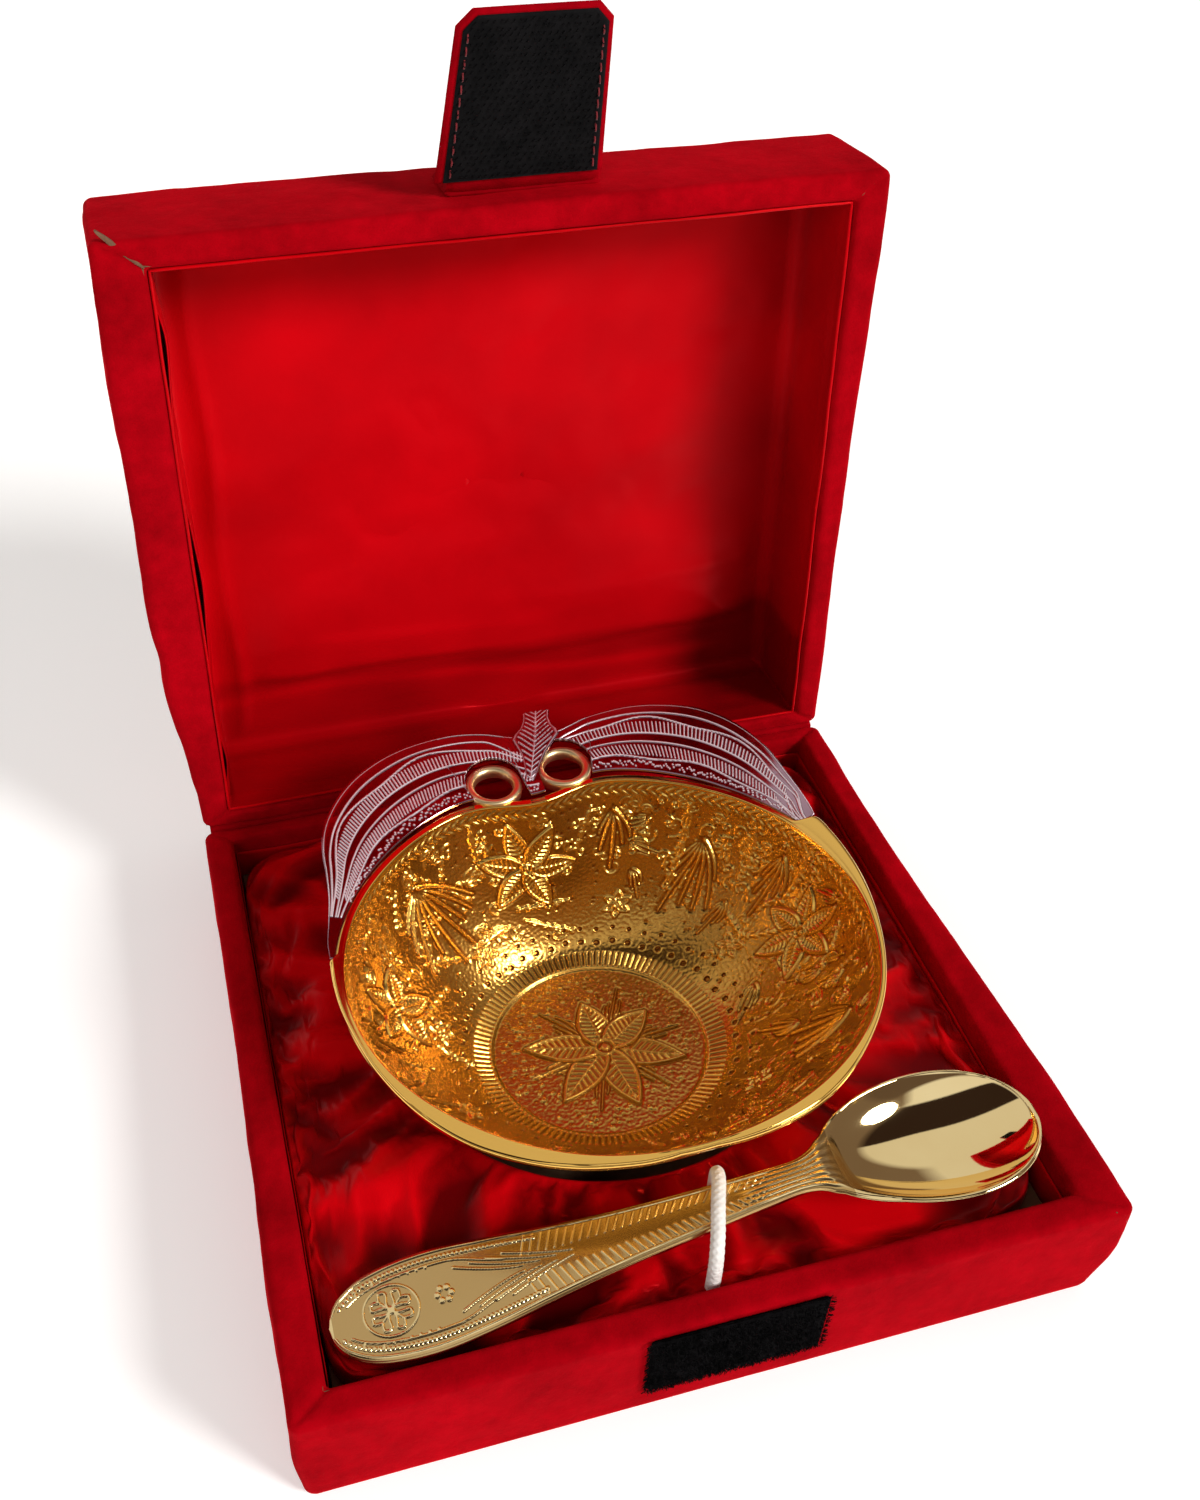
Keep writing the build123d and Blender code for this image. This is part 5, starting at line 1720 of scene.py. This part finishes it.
def spoon():
    rows, columns = ((900, 110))
    t = np.linspace(0, 1, rows)
    xs = -68.0 + 136.48 * (t - 0.010 * np.sin(TAU * t))
    half = spoon_half_width(xs)
    middle = np.where(xs > 20, np.interp(xs, [20, 36, 69], [spoon_axis(20), SCOOP_Y, SCOOP_Y]),
                      spoon_axis(xs))
    across = np.linspace(-1, 1, columns)[None]
    x = np.repeat(xs[:, None], columns, 1)
    y = middle[:, None] + half[:, None] * across
    edge_z = np.interp(xs, SPOON_X, SPOON_Z)
    edge_z = np.convolve(np.pad(edge_z, 12, mode="edge"), np.ones(25) / 25, mode="valid")
    # hollow of the scoop, from the place in plan
    scoop_x = (x - SCOOP_X) / 22.3
    scoop_y = (y - SCOOP_Y) / (12.75 * (1 + 0.16 * np.clip(scoop_x, -1, 1)))
    from_centre = np.sqrt(scoop_x ** 2 + scoop_y ** 2)
    hollow = 7.0 * np.clip(1 - from_centre ** 2.3, 0, 1) ** 0.85 * smooth(22.5, 31.0, x)
    crown = 0.30 * (1 - across ** 2) * (1 - smooth(20, 28, x))
    round_edge = 0.5 * smooth(0.90, 1.0, np.abs(across)) ** 2
    heights = spoon_relief(xs, half).at(x, y)
    # flutes into the neck
    flutes = ((0.5 + 0.5 * np.cos(across * 4 * TAU)) * smooth(6, 14, x)
              * (1 - smooth(23, 30, x)) * (np.abs(across) < 0.88))
    heights = heights * (1 - smooth(8, 16, x)) + 0.8 * flutes
    decorated = smooth(-67.9, -66.8, x) * (1 - smooth(26, 30, x))
    top = np.stack([x, y, edge_z[:, None] + crown - hollow - round_edge
                    + 0.24 * heights * decorated], -1)
    thickness = np.interp(xs, [-68, -50, 0, 20, 28, 40, 68.5],
                          [1.5, 1.7, 1.9, 1.9, 1.35, 0.95, 0.9])[:, None]
    bottom_z = edge_z[:, None] - thickness * (1 - 0.35 * across ** 2) - hollow - 0.05
    bottom = np.stack([x, y, np.minimum(bottom_z, top[..., 2] - 0.35)], -1)
    relief = np.where(decorated > 0.5, 0.18 + 0.8 * heights, 1.0).T
    points, faces = sandwich(top, bottom)
    ob = add_mesh("spoon_engraved", points, faces, SPOON_GOLD, recalc=True,
                  attributes={"relief": np.concatenate([relief, np.ones_like(relief)]),
                              "polish": np.concatenate([smooth(26, 31, x).T,
                                                        np.full_like(x.T, 0.8)])})
    register(ob, "spoon", ["spoon"])


# ------------------------------------------------------------------ elastic cord
# Path of the cord up out of the bed, over the spoon's handle and down again
CORD_PATH = [
    (5.5, -44.9, 14.0), (5.5, -44.9, 20.0), (5.5, -44.9, 26.0), (5.5, -44.9, 29.4),
    (5.1, -45.9, 31.9), (4.4, -48.2, 33.0), (2.8, -52.2, 32.9), (1.2, -56.7, 31.5),
    (0.0, -59.9, 28.5), (-0.5, -61.0, 24.4), (-0.5, -61.0, 19.0), (-0.5, -61.0, 14.0),
]


def cord():
    path = spline(CORD_PATH, 16)
    length = np.r_[0, np.cumsum(np.linalg.norm(np.diff(path, axis=0), axis=1))]
    spaced = np.linspace(0, length[-1], 520)
    path = np.stack([np.interp(spaced, length, path[:, k]) for k in range(3)], -1)
    sides = 36
    rings = tube(path, 1.28, sides)
    # braid: two crossing sets of ridges
    around = 5 * (np.arange(sides) * TAU / sides)[None]
    wind = spaced[:, None] * 5.2
    braid = np.maximum(np.cos(around + wind), np.cos(around - wind))
    centre = path[:, None]
    points, faces = tube_mesh(centre + (rings - centre) * (1 + 0.055 * braid[..., None]))
    ob = add_mesh("cord_elastic", points, faces, ELASTIC, recalc=True)
    register(ob, replaces=["elastic_cord"])
    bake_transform(ob)


def cord_knots():
    """A knot below each end of the cord."""
    t = np.linspace(0, TAU, 90, endpoint=False)
    shape = np.stack([0.9 * (np.sin(t) + 0.5 * np.sin(2 * t)),
                      0.9 * (np.cos(t) - 0.5 * np.cos(2 * t)), -0.54 * np.sin(3 * t)], -1)
    parts = [tube_mesh(tube(shape + centre, 0.72, 10, closed=True), closed=True)
             for centre in ((5.5, -44.9, 10.6), (-0.5, -57.7, 10.6))]
    ob = add_mesh("cord_knots_tied", *join_parts(parts), ELASTIC, recalc=True)
    register(ob, "base", ["cord_knots"])


# ------------------------------------------------------------------ strap and tapes
STRAP_TOP, STRAP_END = STRAP_Z - 0.3, STRAP_Z - 32.8
TAPE_Y = STRAP_Y + 0.92          # face of the sleeve that carries the hook tape


def soft_slab(x, y, z, edge, chamfer, nx, nz, shift, waves):
    """Rounded soft slab in the xz plane; x, y and z are (low, high).

    edge is the edge's rounding, chamfer cuts the two lower corners.
    """
    share_z, share_x = np.meshgrid(np.linspace(0, 1, nz), np.linspace(0, 1, nx), indexing="ij")
    zs = z[0] + (z[1] - z[0]) * share_z
    cut = np.clip(chamfer - (zs - z[0]), 0, chamfer)
    left, right = x[0] + cut, x[1] - cut
    xs = left + (right - left) * share_x
    to_side = np.minimum(xs - left, right - xs)
    to_end = np.minimum(zs - z[0], z[1] - zs)
    near = np.clip(np.minimum(to_side, to_end) / edge, 0, 1)
    half = (y[1] - y[0]) / 2 * np.sqrt(np.clip(1 - (1 - near) ** 2, 0, 1))
    flat = np.stack([xs, np.zeros_like(xs), zs], -1)
    middle = (y[0] + y[1]) / 2 + waves * NOISE.layered(flat + shift, 12.0, 3)
    points = np.vstack([np.stack([xs, middle + side * half, zs], -1).reshape(-1, 3)
                        for side in (-1, 1)])
    front = grid_faces(nz, nx)
    other = nx * nz
    # stitch the two faces together round the outline
    outline = list(range(nx))
    outline += [k * nx + nx - 1 for k in range(1, nz)]
    outline += [(nz - 1) * nx + i for i in range(nx - 2, -1, -1)]
    outline += [k * nx for k in range(nz - 2, 0, -1)]
    rim = [(a, a + other, b + other, b) for a, b in zip(outline, outline[1:] + outline[:1])]
    return points, front.tolist() + (front[:, ::-1] + other).tolist() + rim


def lean(points):
    """The strap's left edge leans to the right towards its free end."""
    points = np.array(points)
    down = (STRAP_Z - points[:, 2]) / 32.8
    points[:, 0] += ((STRAP_RIGHT - points[:, 0]) / (STRAP_RIGHT - STRAP_LEFT)
                     * (-2.2 + 4.2 * down))
    return points


def add_strap_piece(name, points, faces, material, slot, replaces):
    ob = add_mesh(name, place_strap(lean(points)), faces, material, recalc=True)
    register(ob, "strap", replaces)


def strap_sleeve():
    points, faces = soft_slab((STRAP_LEFT, STRAP_RIGHT), (STRAP_Y - 1.05, STRAP_Y + 0.9),
                              (STRAP_END, STRAP_TOP), edge=1.2, chamfer=3.0, nx=60, nz=66,
                              shift=3, waves=0.10)
    add_strap_piece("strap_velvet_sleeve", points, faces, STRAP_VELVET, "velvet_red",
                    ["strap_velvet", "strap_card"])


def strap_hook_tape():
    """Tape with staggered rows of tiny hooks."""
    parts = [soft_slab((STRAP_LEFT + 1.25, STRAP_RIGHT - 1.25), (TAPE_Y, TAPE_Y + 0.42),
                       (STRAP_END + 0.9, STRAP_TOP - 0.6), edge=0.25, chamfer=2.5,
                       nx=50, nz=50, shift=3, waves=0.05)]
    random = np.random.RandomState(4)
    pitch = 1.25
    for row, z in enumerate(np.arange(STRAP_END + 2.0, STRAP_TOP - 1.2, pitch)):
        for x in np.arange(STRAP_LEFT + 2.2 + (row % 2) * pitch / 2, STRAP_RIGHT - 2.0, pitch):
            up = z - STRAP_END
            # none on the cut corners
            if up < 3.6 and min(x - STRAP_LEFT, STRAP_RIGHT - x) < 4.2 - (up - 0.5):
                continue
            jitter_x, jitter_z = 0.12 * random.randn(), 0.12 * random.randn()
            side = 1 if random.rand() < 0.5 else -1
            path = np.array([x + jitter_x, TAPE_Y + 0.38, z + jitter_z]) + np.array([
                (0, 0, 0), (0, 0.24, 0), (0.14 * side, 0.42, 0.12),
                (0.34 * side, 0.40, 0.2), (0.40 * side, 0.22, 0.24)])
            parts.append(tube_mesh(tube(path, 0.12, 4)))
    add_strap_piece("strap_hook_tape", *join_parts(parts), HOOK_TAPE, "hook_tape",
                    ["strap_hook_pad"])


def strap_stitches():
    """Two rows of stitches, each a small arched thread."""
    parts = []
    t = np.linspace(0, 1, 9)
    for x in (STRAP_LEFT + 2.3, STRAP_RIGHT - 2.3):
        for z in np.arange(STRAP_END + 4.0, STRAP_TOP - 1.8, 2.3):
            path = np.stack([x + 0.12 * (t - 0.5), TAPE_Y + 0.36 + 0.28 * np.sin(math.pi * t),
                             z + 1.6 * t], -1)
            parts.append(tube_mesh(tube(path, 0.17, 8)))
    add_strap_piece("strap_stitch_rows", *join_parts(parts), THREAD, "thread",
                    ["strap_stitching"])


def strap_tab():
    """Tab on the lid's front wall."""
    points, faces = soft_slab((STRAP_LEFT, STRAP_RIGHT), (-70.75, -69.1), (33.6, 46.0),
                              edge=0.9, chamfer=0.0, nx=50, nz=30, shift=8, waves=0.06)
    ob = add_mesh("strap_tab_velvet", open_lid(points), faces, STRAP_VELVET, recalc=True)
    register(ob, "lid", ["strap_fixed_tab"])


def strap_fold():
    """Soft fold from the tab's lower edge to the strap's root, drawn as it stands."""
    steps, columns = 22, 40
    start = open_lid([0, -69.9, 36.0])
    bend = open_lid([0, -70.4, 32.6])
    end = place_strap([0, STRAP_Y, STRAP_Z - 2.2])
    t = np.linspace(0, 1, steps)[:, None]
    curve = (1 - t) ** 2 * start + 2 * t * (1 - t) * bend + t ** 2 * end
    tangent = np.gradient(curve, axis=0)
    normal = np.stack([np.zeros(steps), -tangent[:, 2], tangent[:, 1]], -1)
    normal /= np.linalg.norm(normal, axis=1)[:, None]
    # half-thickness, rounded off at the two sides
    half = 0.62 * np.sqrt(np.clip(1 - np.abs(np.linspace(-1, 1, columns)) ** 10, 0, 1))
    offset = normal[:, None] * half[None, :, None]
    middle = np.repeat(curve[:, None], columns, 1)
    middle[..., 0] = np.linspace(STRAP_LEFT + 0.2, STRAP_RIGHT - 0.2, columns)
    points, faces = sandwich(middle + offset, middle - offset)
    ob = add_mesh("strap_fold_velvet", points, faces, STRAP_VELVET, recalc=True)
    register(ob)
    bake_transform(ob)


def loop_patch():
    """Loop tape on the front wall: a slab with curled fibres and a fringe."""
    left, right, low, high = LOOP_LEFT, LOOP_RIGHT, 7.5, 24.5
    width, height = right - left, high - low
    parts = [soft_slab((left, right), (-69.95, -69.0), (low, high), edge=0.5, chamfer=0.6,
                       nx=60, nz=34, shift=12, waves=0.05)]
    random = np.random.RandomState(8)
    rand, randn = random.rand, random.randn
    for _ in range(4200):
        if rand() < 0.22:
            # fringe along the edges, longest at the lower one
            edge = rand()
            if edge < 0.55:
                root = np.array([left + width * rand(), -69.7, low + 0.3 * rand()])
                direction = np.array([0.5 * randn(), -0.25 * rand(), -1.0])
                length = 0.5 + 0.9 * rand()
            elif edge < 0.75:
                root = np.array([left + width * rand(), -69.7, high - 0.2 * rand()])
                direction = np.array([0.5 * randn(), -0.5 * rand(), 0.8])
                length = 0.4 + 0.4 * rand()
            else:
                on_left = rand() < 0.5
                root = np.array([left if on_left else right, -69.7, low + height * rand()])
                direction = np.array([-1.0 if on_left else 1.0, -0.3, 0.4 * randn()])
                length = 0.4 + 0.6 * rand()
        else:
            root = np.array([left + 0.4 + (width - 0.8) * rand(), -69.85,
                             low + 0.4 + (height - 0.8) * rand()])
            direction = np.array([randn(), -1.2, randn()])
            length = 0.42 + 0.3 * rand()
        direction /= np.linalg.norm(direction)
        bend = np.array([randn(), -0.3, randn()]) * 0.18
        path = np.array([root, root + direction * length * 0.5 + bend * 0.3,
                         root + direction * length + bend])
        path[:, 1] = np.clip(path[:, 1], -70.5, -69.3)
        parts.append(tube_mesh(tube(path, 0.06, 3)))
    ob = add_mesh("loop_tape_patch", *join_parts(parts), LOOP_TAPE, recalc=True)
    register(ob, "base", ["front_loop_patch"])


# ------------------------------------------------------------------ hinge and board gaps
def hinge_cloth():
    """One strip of velvet from the back of the base to the lid's hinge-side wall."""
    # (y, z) on the base, then (x, y, z) on the shut lid
    on_base = [(69.25, 12.0), (69.35, 18.0), (69.4, 23.0), (69.5, 25.2)]
    on_lid = [(0, 69.35, 27.8), (0, 69.4, 31.0), (0, 69.35, 36.0), (0, 69.25, 41.0)]
    curve = spline(np.vstack([on_base, open_lid(on_lid)[:, 1:]]), 8)
    columns = 150
    points = np.zeros((len(curve), columns, 3))
    points[..., 0] = np.linspace(-74.6, 74.6, columns)
    points[..., 1:] = curve[:, None]
    tangent = np.gradient(curve, axis=0)
    normal = np.stack([tangent[:, 1], -tangent[:, 0]], -1)
    normal /= np.linalg.norm(normal, axis=1)[:, None]
    waves = 0.12 * NOISE.layered(points, 10.0, 3)
    points[..., 1:] += normal[:, None] * waves[..., None]
    ob = add_grid("hinge_velvet_strip", points, VELVET)
    solidify(ob, 0.4, offset=0)
    register(ob, replaces=["hinge_cloth_base", "hinge_cloth_lid"])
    tuple(open_lid([0, 69.3, 28.5]) * MM)
    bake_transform(ob)


# Bare board showing at front corners where the velvet's folds gape:
# name, body, side in x, z of the rim, way it faces, start and end across the wall, width
BOARD_GAPS = [
    ("board_gap_lid_left", "lid", -1, 27.35, -1, -0.35, 0.92, 1.0),
    ("board_gap_lid_right", "lid", 1, 27.35, -1, 0.30, 0.80, 0.55),
    ("board_gap_base_right", "base", 1, 25.62, 1, 0.05, 0.62, 0.60),
]


def board_gaps():
    rows, columns = 26, 7
    for name, body, side, rim_z, up, start, end, width in BOARD_GAPS:
        t = np.linspace(start, end, rows)[:, None]
        across = np.linspace(-1, 1, columns)[None]
        taper = np.sqrt(np.clip(np.sin(math.pi * np.linspace(0.02, 0.98, rows)), 0, 1))
        # along the corner's diagonal, with the width square to it
        offset = 0.7071 * width * taper[:, None] * across * 0.5
        x = side * (HALF_WIDTH - WALL * t) + side * offset
        y = -(HALF_DEPTH - WALL * t) + offset
        z = rim_z + up * (0.10 * (1 - across ** 2) + 0.06 * np.sin(t * 19))
        points, faces = sandwich(np.stack([x, y, z], -1), np.stack([x, y, z - up * 0.8], -1))
        if body == "lid":
            points = open_lid(points)
        ob = add_mesh(name, points, faces, BOARD, recalc=True)
        register(ob, body)


# ------------------------------------------------------------------ floor, light, camera
def studio_floor():
    mat = Material("studio_floor")
    color = mat.ramp(mat.noise(scale=3, detail=2, roughness=0.5),
                     (0.3, (0.95, 0.95, 0.95)), (0.7, (0.98, 0.98, 0.98)))
    mat.shade(Roughness=0.9, Specular_IOR_Level=0.1, Base_Color=color, Emission_Color=color,
              Emission_Strength=0.30)
    half, z = 4000, -0.4
    corners = [(-half, -half, z), (half, -half, z), (half, half, z), (-half, half, z)]
    add_mesh("studio_floor", corners, [(0, 1, 2, 3)], mat.data)


ROOM_COLOR = (1.34, 1.34, 1.34)
# Regions of the room by view direction, painted in turn:
# bands of (axis, low, high, fade) that are multiplied, then the colour
ROOM_REGIONS = [
    ([("y", 0.0, 1.2, 0.25)], (1.16, 1.13, 1.06)),                               # back
    ([("y", -0.60, -0.02, 0.03), ("z", 0.60, 1.2, 0.08)], (0.05, 0.03, 0.025)),  # overhead
    ([("x", 0.45, 1.2, 0.10), ("z", 0.0, 0.62, 0.08)], (0.30, 0.22, 0.17)),      # right
    ([("x", -1.2, -0.72, 0.06), ("z", -0.1, 0.45, 0.06)], (0.45, 0.38, 0.34)),   # left
    ([("y", -1.2, -0.75, 0.05), ("z", 0.0, 0.42, 0.06)], (0.20, 0.14, 0.11)),    # front
]


def studio_world():
    world = bpy.data.worlds.new("studio")
    bpy.context.scene.world = world
    world.use_nodes = True
    nodes = Nodes(world.node_tree)
    background = nodes.tree.nodes["Background"]
    direction = nodes.add("ShaderNodeTexCoord").outputs["Generated"]
    separate = nodes.add("ShaderNodeSeparateXYZ")
    nodes.feed(direction, separate.inputs["Vector"])
    axes = dict(zip("xyz", separate.outputs))

    def band(axis, low, high, fade):
        """1 between low and high, fading to 0 outside them."""
        above = nodes.math("SUBTRACT", axes[axis], low - fade)
        below = nodes.math("SUBTRACT", high + fade, axes[axis])
        return nodes.math("MULTIPLY", nodes.math("DIVIDE", above, fade, clamp=True),
                          nodes.math("DIVIDE", below, fade, clamp=True))

    color = ROOM_COLOR
    for bands, tint in ROOM_REGIONS:
        mask = band(*bands[0])
        for extra in bands[1:]:
            mask = nodes.math("MULTIPLY", mask, band(*extra))
        color = nodes.mix(mask, color, tint)
    nodes.feed(color, background.inputs["Color"])
    background.inputs["Strength"].default_value = 0.60


def add_object(name, data):
    ob = bpy.data.objects.new(name, data)
    bpy.context.scene.collection.objects.link(ob)
    return ob


def aim(ob, direction):
    ob.rotation_euler = direction.to_track_quat("-Z", "Y").to_euler()


def lights():
    """A soft sun from the front right and a small fill from the front left, in metres."""
    sun = bpy.data.lights.new("window_sun", "SUN")
    sun.energy = 3.0
    sun.angle = math.radians(18)
    sun.color = (1.0, 0.985, 0.96)
    aim(add_object("window_sun", sun), Vector((-0.62, 0.58, -0.53)))

    fill = bpy.data.lights.new("left_soft", "AREA")
    fill.energy = 1.6
    fill.color = (1.0, 0.99, 0.97)
    fill.size = 0.4
    fill_ob = add_object("left_soft", fill)
    fill_ob.location = (-0.6, -0.5, 0.6)
    aim(fill_ob, Vector((0.0, 0.0, 0.08)) - Vector((-0.6, -0.5, 0.6)))
    fill_ob.visible_glossy = False


def camera():
    """Camera above the front left of the box, in metres."""
    data = bpy.data.cameras.new("camera")
    ob = add_object("camera", data)
    data.sensor_width = 36.0
    data.sensor_fit = "AUTO"
    data.lens = 36.6828
    data.shift_x = 0.04812
    data.shift_y = -0.06472
    data.clip_start = 0.01
    data.clip_end = 20.0
    right = (0.96421261, -0.26441163, 0.01950705)
    up = (0.15317212, 0.61559364, 0.77303478)
    backward = (-0.2164078, -0.74238195, 0.63406364)
    place = Vector((-0.0740456, -0.1853655, 0.2814859))
    turn = Matrix((right, up, backward)).transposed()
    ob.matrix_world = Matrix.Translation(place) @ turn.to_4x4()
    bpy.context.scene.camera = ob


# ------------------------------------------------------------------ build
paint_cad_pieces()
base_velvet()
lid_velvet()
lid_satin()
lid_satin_bead()
bed_satin()
base_lining()
board_gaps()
hinge_cloth()
bowl()
eyelets()
leaf()
spoon()
cord()
cord_knots()
strap_sleeve()
strap_hook_tape()
strap_stitches()
strap_tab()
strap_fold()
loop_patch()
studio_floor()

view = bpy.context.scene.view_settings
view.view_transform = "Standard"
view.look = "None"
studio_world()
lights()
camera()
